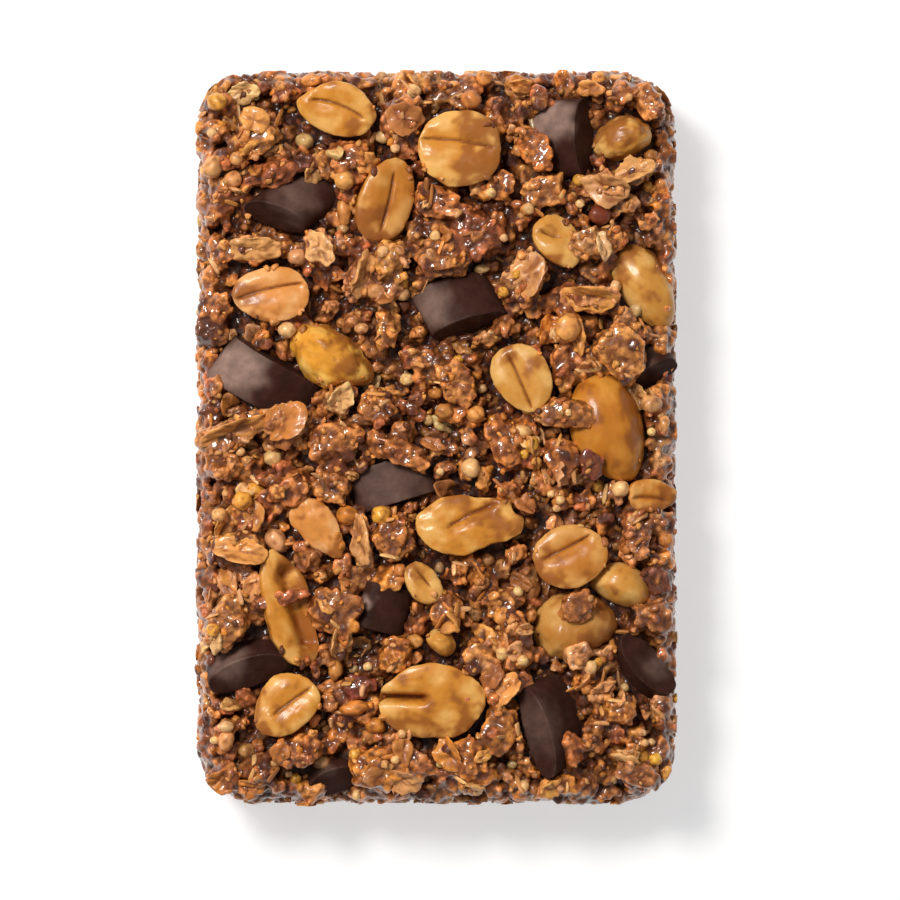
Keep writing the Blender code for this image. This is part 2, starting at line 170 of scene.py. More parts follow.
# x, y, turn, width, thickness, run, slant, tilt, lift, height of the middle
chunkPlaces = (
    (-17.0, 28.2, -20, 7.8, 4.4, 6.6, 3.3, -38, 0, 12.8),
    (15.4, 36.0, -88, 9.4, 4.4, 6.0, 0.0, 32, 0, 12.8),
    (2.8, 15.8, 17, 9.6, 4.4, 6.0, -1.2, -24, 0, 13.0),
    (-20.6, 7.0, -29, 12.6, 4.0, 6.0, 0.8, 14, -7, 12.5),
    (-5.3, -5.5, 17, 10.2, 3.6, 5.2, 0.0, -6, 0, 12.4),
    (25.5, 8.6, 32, 6.4, 3.8, 4.2, 0.0, -42, 0, 11.5),
    (-6.2, -20.6, -15, 6.2, 3.4, 5.6, 0.0, 0, -22, 13.0),
    (-22.8, -27.2, 18, 10.0, 4.4, 5.4, 0.0, -58, 3, 12.2),
    (14.0, -34.3, -74, 11.2, 4.2, 7.0, -1.5, -48, 0, 12.8),
    (24.9, -27.7, -49, 9.0, 4.2, 4.2, 0.0, 62, 0, 12.0),
    (-12.6, -40.4, 20, 6.6, 4.0, 4.4, 0.0, -52, 0, 11.2),
)

# The granola: a core, with its crisps, grains and syrup fused over it
mass = {
    "width": 56.4,
    "length": 86.9,
    "height": 13.8,
    "corner": 6.4,
    "shoulder": 3.6,
    "coreInset": 0.9,
    "coreTop": 12.7,
    "wallStand": 0.8,  # how far the wall's grains stand out of the solid's wall
    "wallGive": 0.16,  # share that is left of what stands out further
    "crownHeight": 16.6,  # grains higher than this are pressed down
    "crownGive": 0.4,
    "voxel": 0.255,
    "puffSize": 1.1,
    "puffHeight": 0.42,
    "pitSize": 0.6,
    "pitDepth": 0.30,
    "blotch": 1.2,  # size of the lighter and darker patches on the crisps
    "seed": 5,
    "topGrains": 520,
    "topGrainSize": (1.6, 4.2),
    "wallGrains": 600,
    "wallGrainSize": (2.2, 4.6),
    "undersideGrains": 300,
    "undersideGrainSize": (2.6, 5.0),
    "topKnobs": 1500,
    "wallKnobs": 800,
    "knobSize": (0.7, 2.0),
    "tries": 14000,  # places tried before giving up on more grains
    "blocks": 6,
}
# Crisps, kernels and clumps that can be told apart on the top: x, y, length, width, turn, tone, lift
crispPlaces = (
    (-21.8, 35.8, 6.0, 3.6, 25, "golden", 0), (-19.8, 31.7, 5.8, 3.4, 15, "redBrown", 0),
    (-10.1, 33.2, 5.6, 5.0, 0, "amber", 0), (-13.9, 22.7, 4.2, 3.2, -50, "peach", 0),
    (-9.0, 19.4, 6.0, 3.2, 75, "peach", 0), (-5.3, 21.1, 5.5, 3.9, 80, "golden", 0),
    (0.5, 21.2, 6.6, 4.4, 10, "amber", 0), (0.3, 28.1, 5.4, 4.2, -10, "amber", 0),
    (-21.7, 22.7, 6.4, 2.8, 5, "tan", 0), (-26.2, 15.5, 3.6, 3.0, 60, "golden", 0),
    (-4.2, 38.5, 5.0, 4.6, 0, "brown", 0), (12.2, 34.5, 4.8, 3.4, -70, "orange", 0.9),
    (13.0, 29.6, 5.0, 3.4, 15, "golden", 0), (7.9, 30.4, 3.8, 2.8, 60, "amber", 0),
    (4.8, 24.7, 6.0, 5.4, -40, "redBrown", -0.3), (21.9, 41.0, 3.6, 2.8, 60, "amber", 0),
    (25.4, 40.4, 4.6, 2.6, -58, "golden", 0), (20.2, 30.2, 6.0, 3.4, -10, "tan", 0),
    (23.6, 31.8, 5.4, 2.6, 20, "tan", 0), (18.1, 23.3, 4.6, 3.4, 20, "tan", 0.9),
    (10.7, 19.0, 6.0, 4.4, 60, "tan", 0), (18.5, 16.7, 6.6, 3.2, -5, "tan", 0),
    (-27.0, 14.0, 5.6, 3.6, 80, "dark", 0), (-5.8, 12.8, 4.2, 2.6, 80, "golden", 0),
    (-11.3, 4.7, 4.0, 3.2, 60, "pale", 0.3), (-7.3, 3.7, 4.4, 4.0, -40, "amber", 0),
    (2.4, 6.8, 5.4, 4.0, -65, "golden", 0), (-24.8, 0.4, 8.2, 3.2, 22, "tan", 0),
    (-25.8, -3.4, 4.3, 3.8, 0, "amber", 0), (-12.1, -0.3, 6.8, 4.8, 10, "amber", 0),
    (-17.3, -6.4, 5.0, 4.4, 45, "amber", 0), (-12.4, -5.8, 4.2, 4.0, 0, "amber", 0),
    (-5.0, -12.0, 5.0, 4.4, 40, "amber", 0), (-8.9, -12.4, 6.6, 2.4, -80, "tan", 0),
    (-23.5, -13.3, 5.8, 3.6, -12, "golden", 0), (-3.8, -2.1, 5.6, 2.8, -22, "amber", 0.8),
    (22.2, 10.4, 6.6, 5.0, -50, "golden", 0.2), (15.2, 8.8, 4.8, 2.6, 85, "amber", 0),
    (15.8, 13.0, 4.0, 3.4, 80, "orange", 0), (8.4, -0.7, 5.2, 4.2, -60, "amber", 0),
    (15.0, -2.5, 5.0, 3.8, -70, "amber", 0.4), (13.4, 3.2, 5.4, 3.2, -8, "tan", 0),
    (24.1, -12.4, 6.0, 3.2, 72, "brown", 0), (-25.0, -22.7, 6.6, 4.6, 62, "golden", 0),
    (-20.6, -19.7, 3.6, 2.6, 25, "amber", 0), (-12.2, -20.9, 6.2, 5.2, -20, "amber", 0),
    (-11.3, -24.7, 3.6, 2.6, 80, "tan", 0), (-4.8, -26.0, 3.9, 3.6, 0, "orange", 0),
    (-9.2, -29.9, 4.0, 2.8, 0, "red", 0), (-16.3, -37.5, 5.4, 4.2, 30, "amber", 0),
    (-7.2, -39.8, 6.0, 4.6, -20, "orange", 0), (-3.0, -38.5, 6.4, 2.4, -40, "amber", 0),
    (1.1, -20.5, 4.0, 3.8, 0, "amber", 0), (5.5, -26.7, 4.8, 4.0, -60, "golden", 0),
    (9.6, -24.4, 7.0, 3.8, -72, "amber", 0), (7.9, -19.9, 4.0, 2.8, 20, "amber", 0),
    (17.2, -26.2, 3.4, 3.0, 0, "peach", 0.6), (7.8, -30.1, 4.2, 3.8, 50, "golden", 0),
    (7.6, -35.2, 5.8, 4.3, 70, "orange", 0), (3.8, -39.2, 6.2, 4.6, -60, "orange", 0),
    (26.2, -21.6, 4.6, 4.2, 0, "brown", 0), (26.4, -17.0, 3.6, 3.4, 0, "dark", 0),
    (15.8, -37.3, 4.2, 3.2, -70, "amber", 0), (18.8, -35.8, 4.0, 2.2, 85, "amber", 0),
    (22.0, -33.0, 3.8, 3.2, 0, "orange", 0), (24.4, -40.4, 4.6, 3.0, -15, "brown", 0),
    (19.9, -30.6, 3.4, 2.6, 30, "tan", 0), (-18.2, 1.9, 4.8, 4.4, 30, "tan", 0),
    (16.8, -20.3, 4.2, 3.4, 40, "amber", 1.4), (15.4, -41.8, 3.6, 2.4, 10, "orange", 0),
    (15.9, 3.0, 6.8, 3.2, -4, "amber", 1.9), (18.6, -3.1, 3.6, 2.6, -70, "red", 2.3),
    (-18.4, -19.3, 5.8, 1.7, 12, "redBrown", 1.6), (3.8, -31.4, 2.2, 1.3, 20, "redBrown", 1.5),
)
# What the unnamed grains are made of, and how often
grainMix = {
    "amber": 32,
    "redBrown": 16,
    "brown": 14,
    "golden": 20,
    "orange": 8,
    "tan": 10,
    "dark": 4,
    "peach": 5,
}


def pickTone(draw):
    return draw.choices(list(grainMix), grainMix.values())[0]


# How much lower the bar's rounded shoulder lies here, for one place or for arrays of them, in millimetres
def shoulderDrop(x, y):
    inset = np.minimum(mass["width"] / 2 - np.abs(x), mass["length"] / 2 - np.abs(y))
    across = mass["shoulder"] - np.clip(inset, 0, mass["shoulder"])
    return mass["shoulder"] - np.sqrt(mass["shoulder"] ** 2 - across**2)


def shoulderDrops(points):
    return shoulderDrop(points[:, 0] / mm, points[:, 1] / mm)


# The inclusions seen from above: middle, turn and half sizes
def footprints():
    found = []
    for x, y, turn, length, width, _, roll, *_ in peanutPlaces:
        found.append((x, y, math.radians(turn), length / 2, width / 2 * math.cos(math.radians(roll))))
    for x, y, turn, width, thickness, run, _, tilt, *_ in chunkPlaces:
        lean = math.radians(tilt)
        half = run / 2 * math.cos(lean) + thickness / 2 * abs(math.sin(lean))
        found.append((x, y, math.radians(turn), width / 2, half))
    return found


inclusionPrints = footprints()


def onInclusion(x, y, margin):
    for middleX, middleY, turn, halfLong, halfWide in inclusionPrints:
        offX = x - middleX
        offY = y - middleY
        along = offX * math.cos(turn) + offY * math.sin(turn)
        across = offY * math.cos(turn) - offX * math.sin(turn)
        if (along / (halfLong + margin)) ** 2 + (across / (halfWide + margin)) ** 2 < 1:
            return True
    return False


def shapeCore():
    inset = mass["coreInset"]
    width = (mass["width"] - 2 * inset) * mm
    length = (mass["length"] - 2 * inset) * mm
    bottom = inset * mm
    top = mass["coreTop"] * mm
    shape = bmesh.new()
    bmesh.ops.create_cube(shape, size=1.0)
    bmesh.ops.scale(shape, vec=(width, length, top - bottom), verts=shape.verts)
    bmesh.ops.translate(shape, vec=(0, 0, (top + bottom) / 2), verts=shape.verts)
    upright = [e for e in shape.edges if abs(e.verts[0].co.z - e.verts[1].co.z) > 5 * mm]
    bmesh.ops.bevel(
        shape, geom=upright, offset=mass["corner"] * mm, segments=8, profile=0.5, affect="EDGES", material=-1
    )
    rim = [e for e in shape.edges if all(abs(v.co.z - top) < 0.01 * mm for v in e.verts)]
    bmesh.ops.bevel(
        shape, geom=rim, offset=mass["shoulder"] * mm, segments=6, profile=0.5, affect="EDGES", material=-1
    )
    return shape


# A puffed grain of this size; a lower blockiness value gives flatter sides
def shapeLump(size, subdivisions, unevenness, draw, blockiness=0.8):
    shape = bmesh.new()
    bmesh.ops.create_icosphere(shape, subdivisions=subdivisions, radius=1.0)
    shift = randomVector(draw, noiseReach)
    for vert in shape.verts:
        swell = 1 + unevenness * noise.noise(vert.co * 1.3 + shift)
        if subdivisions > 2:
            swell += 0.4 * unevenness * noise.noise(vert.co * 3.1 - shift)
        boxy = [math.copysign(abs(c) ** blockiness, c) for c in vert.co]
        vert.co = Vector([c * swell * s / 2 for c, s in zip(boxy, size)])
    return shape


# Gathers grains in one mesh and remembers each one's tone
class Heap:
    def __init__(self):
        self.shape = bmesh.new()
        self.colours = []

    def add(self, shape, matrix, colour, grain=1.0):
        bmesh.ops.transform(shape, matrix=matrix, verts=shape.verts)
        if isinstance(colour, list) and isinstance(colour[0], tuple):
            self.colours += colour
        else:
            self.colours += [(*colour, grain)] * len(shape.verts)
        mesh = meshFrom(shape, "grain")
        self.shape.from_mesh(mesh)
        bpy.data.meshes.remove(mesh)

    def finish(self, name):
        mesh = meshFrom(self.shape, name)
        writeColour(mesh, "tint", np.array(self.colours))
        return mesh


def varied(tone, draw, spread=0.22):
    change = 1 + draw.uniform(-spread, spread)
    return [c * change * (1 + draw.uniform(-0.06, 0.06)) for c in tones[tone]]


def crowded(spots, x, y, share, reach):
    return any((x - a) ** 2 + (y - b) ** 2 < (share * (reach + r)) ** 2 for a, b, r in spots)


def addTopGrains(heap, draw):
    for x, y, length, width, turn, tone, lift in crispPlaces:
        height = mass["height"] + 0.14 * width + lift - shoulderDrop(x, y)
        blockiness = draw.uniform(0.62, 0.85)
        shape = shapeLump((length * mm, width * mm, 0.88 * width * mm), 4, 0.42, draw, blockiness)
        place = placement(x * mm, y * mm, height * mm, turn, draw.uniform(-8, 8), draw.uniform(-8, 8))
        heap.add(shape, place, varied(tone, draw, 0.08))
    spots = [(x, y, (length + width) / 4) for x, y, length, width, *_ in crispPlaces]
    made = 0
    for _ in range(mass["tries"]):
        if made >= mass["topGrains"]:
            break
        x = draw.uniform(-0.5, 0.5) * (mass["width"] - 1.6)
        y = draw.uniform(-0.5, 0.5) * (mass["length"] - 1.6)
        length = draw.uniform(*mass["topGrainSize"])
        width = length * draw.uniform(0.5, 0.85)
        reach = (length + width) / 4
        if onInclusion(x, y, 0.42 * reach):
            continue
        if crowded(spots, x, y, 0.6, reach):
            continue
        spots.append((x, y, reach))
        made += 1
        height = mass["height"] + 0.1 * width - draw.uniform(-0.2, 1.9) - shoulderDrop(x, y)
        size = (length * mm, width * mm, draw.uniform(0.6, 0.95) * width * mm)
        shape = shapeLump(size, 3, 0.45, draw, draw.uniform(0.62, 0.9))
        turn, roll, lean = draw.uniform(0, 180), draw.uniform(-35, 35), draw.uniform(-35, 35)
        place = placement(x * mm, y * mm, height * mm, turn, roll, lean)
        heap.add(shape, place, varied(pickTone(draw), draw))
    print("top grains:", made)


# A point and the way out, this far along the bar's rounded outline
def outlinePoint(distance):
    radius = mass["corner"]
    corner = Vector((mass["width"] / 2 - radius, mass["length"] / 2 - radius))
    straights = (2 * corner.y, 2 * corner.x) * 2
    corners = ((1, 1), (-1, 1), (-1, -1), (1, -1))
    arc = radius * math.pi / 2
    distance %= 2 * sum(straights[:2]) + 4 * arc
    for side in range(4):
        heading = math.pi / 2 * side
        centre = Vector(corners[side]) * corner
        if distance < straights[side]:
            ahead = Vector((-math.sin(heading), math.cos(heading)))
            out = Vector((math.cos(heading), math.sin(heading)))
            return centre - ahead * (straights[side] - distance) + out * radius, out
        distance -= straights[side]
        if distance < arc:
            turned = heading + distance / radius
            out = Vector((math.cos(turned), math.sin(turned)))
            return centre + out * radius, out
        distance -= arc
    raise ValueError("the distance is past the outline's end")


outlineLength = 2 * (mass["width"] + mass["length"] - 4 * mass["corner"]) + 2 * math.pi * mass["corner"]


# Puts a shape's Z along the way out of the wall, and its Y up
def facing(spot, out, height):
    return Matrix((
        (-out.y, 0, out.x, spot.x * mm),
        (out.x, 0, out.y, spot.y * mm),
        (0, 1, 0, height * mm),
        (0, 0, 0, 1),
    ))


def addWallGrains(heap, draw):
    spots = []
    made = 0
    for _ in range(mass["tries"]):
        if made >= mass["wallGrains"]:
            break
        along = draw.uniform(0, outlineLength)
        height = draw.uniform(0.6, 12.6)
        length = draw.uniform(*mass["wallGrainSize"])
        width = length * draw.uniform(0.55, 0.9)
        reach = (length + width) / 4
        gap = [(abs(along - a), height - b, r) for a, b, r in spots]
        if any(min(a, outlineLength - a) ** 2 + b * b < (0.56 * (reach + r)) ** 2 for a, b, r in gap):
            continue
        spots.append((along, height, reach))
        made += 1
        spot, out = outlinePoint(along)
        above = max(0.0, height - (mass["height"] - mass["shoulder"]))
        draft = mass["shoulder"] - math.sqrt(max(0.0, mass["shoulder"] ** 2 - above**2))
        spot = spot - out * (0.26 * width + draft - draw.uniform(-0.3, 0.4))
        shape = shapeLump((length * mm, width * mm, draw.uniform(0.7, 0.95) * width * mm), 2, 0.4, draw)
        spin = Matrix.Rotation(draw.uniform(0, math.pi), 4, "Z")
        heap.add(shape, facing(spot, out, height) @ spin, varied(pickTone(draw), draw))
    print("wall grains:", made)


def addUndersideGrains(heap, draw):
    spots = []
    for _ in range(mass["tries"]):
        if len(spots) >= mass["undersideGrains"]:
            break
        x = draw.uniform(-0.5, 0.5) * (mass["width"] - 2.4)
        y = draw.uniform(-0.5, 0.5) * (mass["length"] - 2.4)
        length = draw.uniform(*mass["undersideGrainSize"])
        width = length * draw.uniform(0.55, 0.9)
        reach = (length + width) / 4
        if crowded(spots, x, y, 0.68, reach):
            continue
        spots.append((x, y, reach))
        shape = shapeLump((length * mm, width * mm, 0.8 * width * mm), 2, 0.4, draw)
        height = 0.3 * width - draw.uniform(0, 0.35)
        place = placement(x * mm, y * mm, height * mm, draw.uniform(0, 180), 0, 0)
        heap.add(shape, place, varied(pickTone(draw), draw))
    print("underside grains:", len(spots))


# A frame at this spot whose Z follows the way out, with a random turn
def settle(spot, out, draw):
    turned = out.to_track_quat("Z", "Y").to_matrix().to_4x4()
    return Matrix.Translation(spot) @ turned @ Matrix.Rotation(draw.uniform(0, 6.3), 4, "Z")


# Small lumps of crisp and syrup on the top's and the walls' grains
def addKnobs(heap, draw):
    tree = BVHTree.FromBMesh(heap.shape)
    knobs = []
    for _ in range(mass["topKnobs"]):
        x = draw.uniform(-0.5, 0.5) * (mass["width"] - 1)
        y = draw.uniform(-0.5, 0.5) * (mass["length"] - 1)
        if onInclusion(x, y, 0.1):
            continue
        spot, normal, _, _ = tree.ray_cast(Vector((x, y, 30)) * mm, Vector((0, 0, -1)))
        if spot and (spot.z < 14.6 * mm or draw.random() < 0.45):
            knobs.append((spot, normal))
    for _ in range(mass["wallKnobs"]):
        along, out = outlinePoint(draw.uniform(0, outlineLength))
        start = Vector((along.x + out.x * 5, along.y + out.y * 5, draw.uniform(0.8, 13))) * mm
        spot, normal, _, _ = tree.ray_cast(start, Vector((-out.x, -out.y, 0)))
        if spot:
            knobs.append((spot, normal))
    for spot, normal in knobs:
        size = draw.uniform(*mass["knobSize"])
        lump = (size * mm, size * draw.uniform(0.5, 0.9) * mm, size * draw.uniform(0.5, 0.8) * mm)
        shape = shapeLump(lump, 2, 0.5, draw)
        place = settle(spot + normal * 0.05 * size * mm, normal, draw)
        tone = draw.choice(("syrup", "mix", "mix", "mix"))
        colour = syrupColour if tone == "syrup" else varied(pickTone(draw), draw)
        heap.add(shape, place, colour, 0.5 if tone == "syrup" else 1.0)
    print("knobs:", len(knobs))


def displace(obj, name, kind, scale, strength):
    texture = bpy.data.textures.new(name, kind)
    texture.noise_scale = scale * mm
    modifier = obj.modifiers.new(name, "DISPLACE")
    modifier.texture = texture
    modifier.texture_coords = "LOCAL"
    modifier.mid_level = 0.5
    modifier.strength = strength * mm


# Flattens what stands out of the walls, the underside and the crown
def pressIntoShape(points, crown):
    radius = mass["corner"]
    corner = np.array([mass["width"] / 2 - radius, mass["length"] / 2 - radius]) * mm
    beyond = np.maximum(np.abs(points[:, :2]) - corner, 0)
    reach = np.linalg.norm(beyond, axis=1)
    limit = (radius + mass["wallStand"]) * mm
    excess = np.maximum(reach - limit, 0)
    wanted = np.where(excess > 0, limit + mass["wallGive"] * excess, reach)
    share = np.where(reach > 0, wanted / np.maximum(reach, 1e-9), 1)
    pressed = np.minimum(np.abs(points[:, :2]), corner) + beyond * share[:, None]
    points[:, :2] = np.sign(points[:, :2]) * pressed
    points[:, 2] = np.maximum(points[:, 2], 0)
    crown *= mm
    over = np.maximum(points[:, 2] - crown, 0)
    points[:, 2] = np.where(over > 0, crown + mass["crownGive"] * over, points[:, 2])
    return points


syrupLook = {
    "grainShows": (0.12, 0.93),  # share of a grain's own tone in a hollow, and what a bump adds
    "darkCast": (1.0, 0.80, 0.62),
    "lightCast": (1.0, 0.97, 1.0),
    "patchShade": (0.58, 0.80),  # how dark a dark patch is, and what a light one adds
    # Painted highlight on the crests
    "crestHighlightShare": 0.75,
    "crestHighlightGain": 1.7,
    "crestHighlightLimit": 0.86,
    "gapDepths": (0.9, 3.1),  # where the painted shade in the gaps starts, and where it is darkest
    "gapSyrupAndShadeShare": 0.9,
    "creaseSyrupAndShadeShare": 0.85,
    "gapDullness": 0.7,
}


# Dark syrup in the hollows, deepened by painted shade in the gaps and creases; each grain's own tone where
# it stands out, with painted light on broad bumps and a painted highlight on the crests
def paintGranola(mesh):
    points = readPoints(mesh)
    normals = readNormals(mesh)
    tint = readColour(mesh, "tint")
    near = Neighbours(mesh)
    fine = np.einsum("ij,ij->i", points - near.average(points, 3), normals) / mm
    middle = np.einsum("ij,ij->i", points - near.average(points, 10), normals) / mm
    broad = np.einsum("ij,ij->i", points - near.average(points, 40), normals) / mm
    depth = (15.4 * mm - points[:, 2]) / mm
    grain = near.average(tint[:, 3:], 2)[:, 0]
    colour = near.average(tint[:, :3], 1)
    blotch = np.array([noise.noise(Vector(p)) for p in points / (mass["blotch"] * mm)])
    warm = smoothStep(-0.28, 0.30, blotch)[:, None]
    cast = np.array(syrupLook["darkCast"]) * (1 - warm) + np.array(syrupLook["lightCast"]) * warm
    shade, lift = syrupLook["patchShade"]
    colour *= (shade + lift * warm) * cast
    cover = 0.45 * smoothStep(-0.22, 0.32, broad) + 0.55 * smoothStep(-0.08, 0.07, middle)
    hidden, gain = syrupLook["grainShows"]
    share = (grain * (hidden + gain * cover))[:, None].clip(0, 1)
    mixed = np.array(syrupColour) * (1 - share) + colour * share
    # Paler crests where the glaze wears thin, brightened further as a painted highlight
    crest = smoothStep(0.012, 0.05, fine) * smoothStep(0.0, 0.12, middle)
    crest = (crest * syrupLook["crestHighlightShare"] * grain)[:, None]
    crestHighlight = colour * syrupLook["crestHighlightGain"] + 0.035
    limit = syrupLook["crestHighlightLimit"]
    crestHighlight *= (limit / np.maximum(crestHighlight.max(axis=1), limit))[:, None]
    mixed = mixed * (1 - crest) + crestHighlight * crest
    top = (points[:, 2] > 11.2 * mm) & (normals[:, 2] > -0.2)
    # Painted shade: the top's deep gaps and the broad creases darken towards the deep syrup colour
    gap = smoothStep(*syrupLook["gapDepths"], depth - 0.9 * shoulderDrops(points))
    gapSyrupAndShade = np.where(top, syrupLook["gapSyrupAndShadeShare"] * gap, 0)
    crease = 1 - smoothStep(-0.50, -0.16, broad)
    gapSyrupAndShade = np.maximum(gapSyrupAndShade, syrupLook["creaseSyrupAndShadeShare"] * crease)[:, None]
    mixed = mixed * (1 - gapSyrupAndShade) + np.array(deepSyrupAndShadeColour) * gapSyrupAndShade
    # Painted light and shade: broad bumps made lighter, broad hollows darker
    broadLightAndShade = (0.80 + 0.42 * smoothStep(0.05, 0.55, broad))[:, None]
    shine = 1 - syrupLook["gapDullness"] * gapSyrupAndShade[:, 0]
    writeColour(mesh, "tint", np.column_stack([mixed * broadLightAndShade, shine]))


def makeMassMesh():
    draw = random.Random(mass["seed"])
    heap = Heap()
    heap.add(shapeCore(), Matrix.Identity(4), syrupColour, 0.0)
    addTopGrains(heap, draw)
    addWallGrains(heap, draw)
    addUndersideGrains(heap, draw)
    addKnobs(heap, draw)
    mesh = heap.finish("granolaHeap")
    worker = bpy.data.objects.new("granolaHeap", mesh)
    bpy.context.scene.collection.objects.link(worker)
    bpy.context.view_layer.objects.active = worker
    mesh.remesh_voxel_size = mass["voxel"] * mm
    mesh.remesh_voxel_adaptivity = 0
    mesh.use_remesh_fix_poles = False
    mesh.use_remesh_preserve_volume = False
    mesh.use_remesh_preserve_attributes = True
    bpy.ops.object.voxel_remesh()
    print("fused granola:", len(worker.data.polygons), "faces")
    displace(worker, "puffs", "VORONOI", mass["puffSize"], -mass["puffHeight"])
    displace(worker, "pits", "CLOUDS", mass["pitSize"], mass["pitDepth"])
    fused = bpy.data.meshes.new_from_object(worker.evaluated_get(bpy.context.evaluated_depsgraph_get()))
    bpy.data.objects.remove(worker)
    writePoints(fused, pressIntoShape(readPoints(fused), mass["crownHeight"]))
    paintGranola(fused)
    fused.shade_smooth()
    return fused


# The part of the granola between two heights along Y, closed where it is cut
def splitBlock(mesh, low, high, name):
    shape = bmesh.new()
    shape.from_mesh(mesh)
    for along, clearInner in ((low, True), (high, False)):
        if along is None:
            continue
        geometry = shape.verts[:] + shape.edges[:] + shape.faces[:]
        bmesh.ops.bisect_plane(
            shape,
            geom=geometry,
            dist=1e-7,
            plane_co=(0, along, 0),
            plane_no=(0, 1, 0),
            clear_inner=clearInner,
            clear_outer=not clearInner,
        )
        rim = [e for e in shape.edges if e.is_boundary]
        filled = bmesh.ops.holes_fill(shape, edges=rim, sides=0)["faces"]
        for edge in rim:
            edge.smooth = False
        for face in filled:
            face.smooth = False
        bmesh.ops.triangulate(shape, faces=filled)
    block = bpy.data.meshes.new(name)
    shape.to_mesh(block)
    shape.free()
    return block


def addNode(tree, kind, inputs=None, **settings):
    node = tree.nodes.new("ShaderNode" + kind)
    for key, value in settings.items():
        setattr(node, key, value)
    for key, value in (inputs or {}).items():
        if isinstance(value, bpy.types.NodeSocket):
            tree.links.new(value, node.inputs[key])
        else:
            node.inputs[key].default_value = value
    return node


def mixColours(tree, share, first, second, blend="MIX"):
    node = addNode(tree, "Mix", {0: share, 6: first, 7: second}, data_type="RGBA", blend_type=blend)
    return node.outputs[2]


def mapRange(tree, value, low, high, newLow, newHigh):
    inputs = {"Value": value, "From Min": low, "From Max": high, "To Min": newLow, "To Max": newHigh}
    return addNode(tree, "MapRange", inputs).outputs["Result"]


def cloudNoise(tree, spot, scale, detail, roughness=0.5):
    inputs = {"Vector": spot, "Scale": scale, "Detail": detail, "Roughness": roughness}
    return addNode(tree, "TexNoise", inputs).outputs["Fac"]


def startMaterial(name, sockets):
    material = bpy.data.materials.new(name)
    material.use_nodes = True
    shader = material.node_tree.nodes["Principled BSDF"]
    for key, value in sockets.items():
        shader.inputs[key].default_value = value
    return material, material.node_tree, shader


# A material that takes its colour from the mesh's tint
def startTinted(name, sockets):
    material, tree, shader = startMaterial(name, sockets)
    spot = addNode(tree, "TexCoord").outputs["Object"]
    tint = addNode(tree, "Attribute", attribute_name="tint")
    return material, tree, shader, spot, tint


def addBump(tree, height, strength, distance, before=None):
    inputs = {"Height": height, "Strength": strength, "Distance": distance * mm}
    if before:
        inputs["Normal"] = before
    return addNode(tree, "Bump", inputs).outputs["Normal"]


# A colour made lighter or darker by a value
def shaded(tree, colour, shade):
    grey = addNode(tree, "CombineColor", {"Red": shade, "Green": shade, "Blue": shade}).outputs["Color"]
    return mixColours(tree, 1.0, colour, grey, "MULTIPLY")


def glazedGranola():
    material, tree, shader, spot, tint = startTinted("glazedGranola", {"IOR": 1.45, "Coat Roughness": 0.06})
    shine = tint.outputs["Alpha"]
    glaze = cloudNoise(tree, spot, 850, 4, 0.62)
    fine = cloudNoise(tree, spot, 2400, 3, 0.6)
    cover = mapRange(tree, glaze, 0.49, 0.64, 0.0, 0.80)
    film = mixColours(tree, cover, tint.outputs["Color"], (0.19, 0.050, 0.015, 1))
    base = shaded(tree, film, mapRange(tree, fine, 0.3, 0.7, 0.74, 1.32))
    tree.links.new(base, shader.inputs["Base Color"])
    tree.links.new(mapRange(tree, glaze, 0.40, 0.62, 0.50, 0.26), shader.inputs["Roughness"])
    tree.links.new(mapRange(tree, shine, 0.2, 1.0, 0.1, 1.0), shader.inputs["Coat Weight"])
    tree.links.new(mapRange(tree, shine, 0.2, 1.0, 0.1, 0.4), shader.inputs["Specular IOR Level"])
    dimple = addNode(tree, "TexVoronoi", {"Vector": spot, "Scale": 1100}, feature="F1")
    first = addBump(tree, dimple.outputs["Distance"], 0.45, 0.22)
    tree.links.new(addBump(tree, fine, 0.6, 0.16, first), shader.inputs["Normal"])
    return material


peanutLook = {
    "thickness": 3.5,
    "bulge": 0.75,
    "valley": 0.34,
    "sides": 124,
    "rings": 44,
    # Syrup glaze, also used as painted shade on a peanut's shaded flank
    "glazeAndShadeColour": (0.27, 0.075, 0.013),
    # Painted shade for the groove line
    "grooveShadeColour": (0.14, 0.036, 0.008),
}
peanutTones = {
    "golden": ((0.79, 0.415, 0.105), (0.62, 0.235, 0.024)),
    "amber": ((0.70, 0.335, 0.085), (0.52, 0.180, 0.020)),
    "yellow": ((0.88, 0.49, 0.100), (0.74, 0.305, 0.026)),
    "orange": ((0.64, 0.265, 0.036), (0.50, 0.165, 0.012)),
    "pale": ((0.74, 0.41, 0.115), (0.62, 0.27, 0.045)),
    "pink": ((0.82, 0.41, 0.150), (0.70, 0.265, 0.055)),
    "tan": ((0.60, 0.30, 0.075), (0.46, 0.180, 0.028)),
}
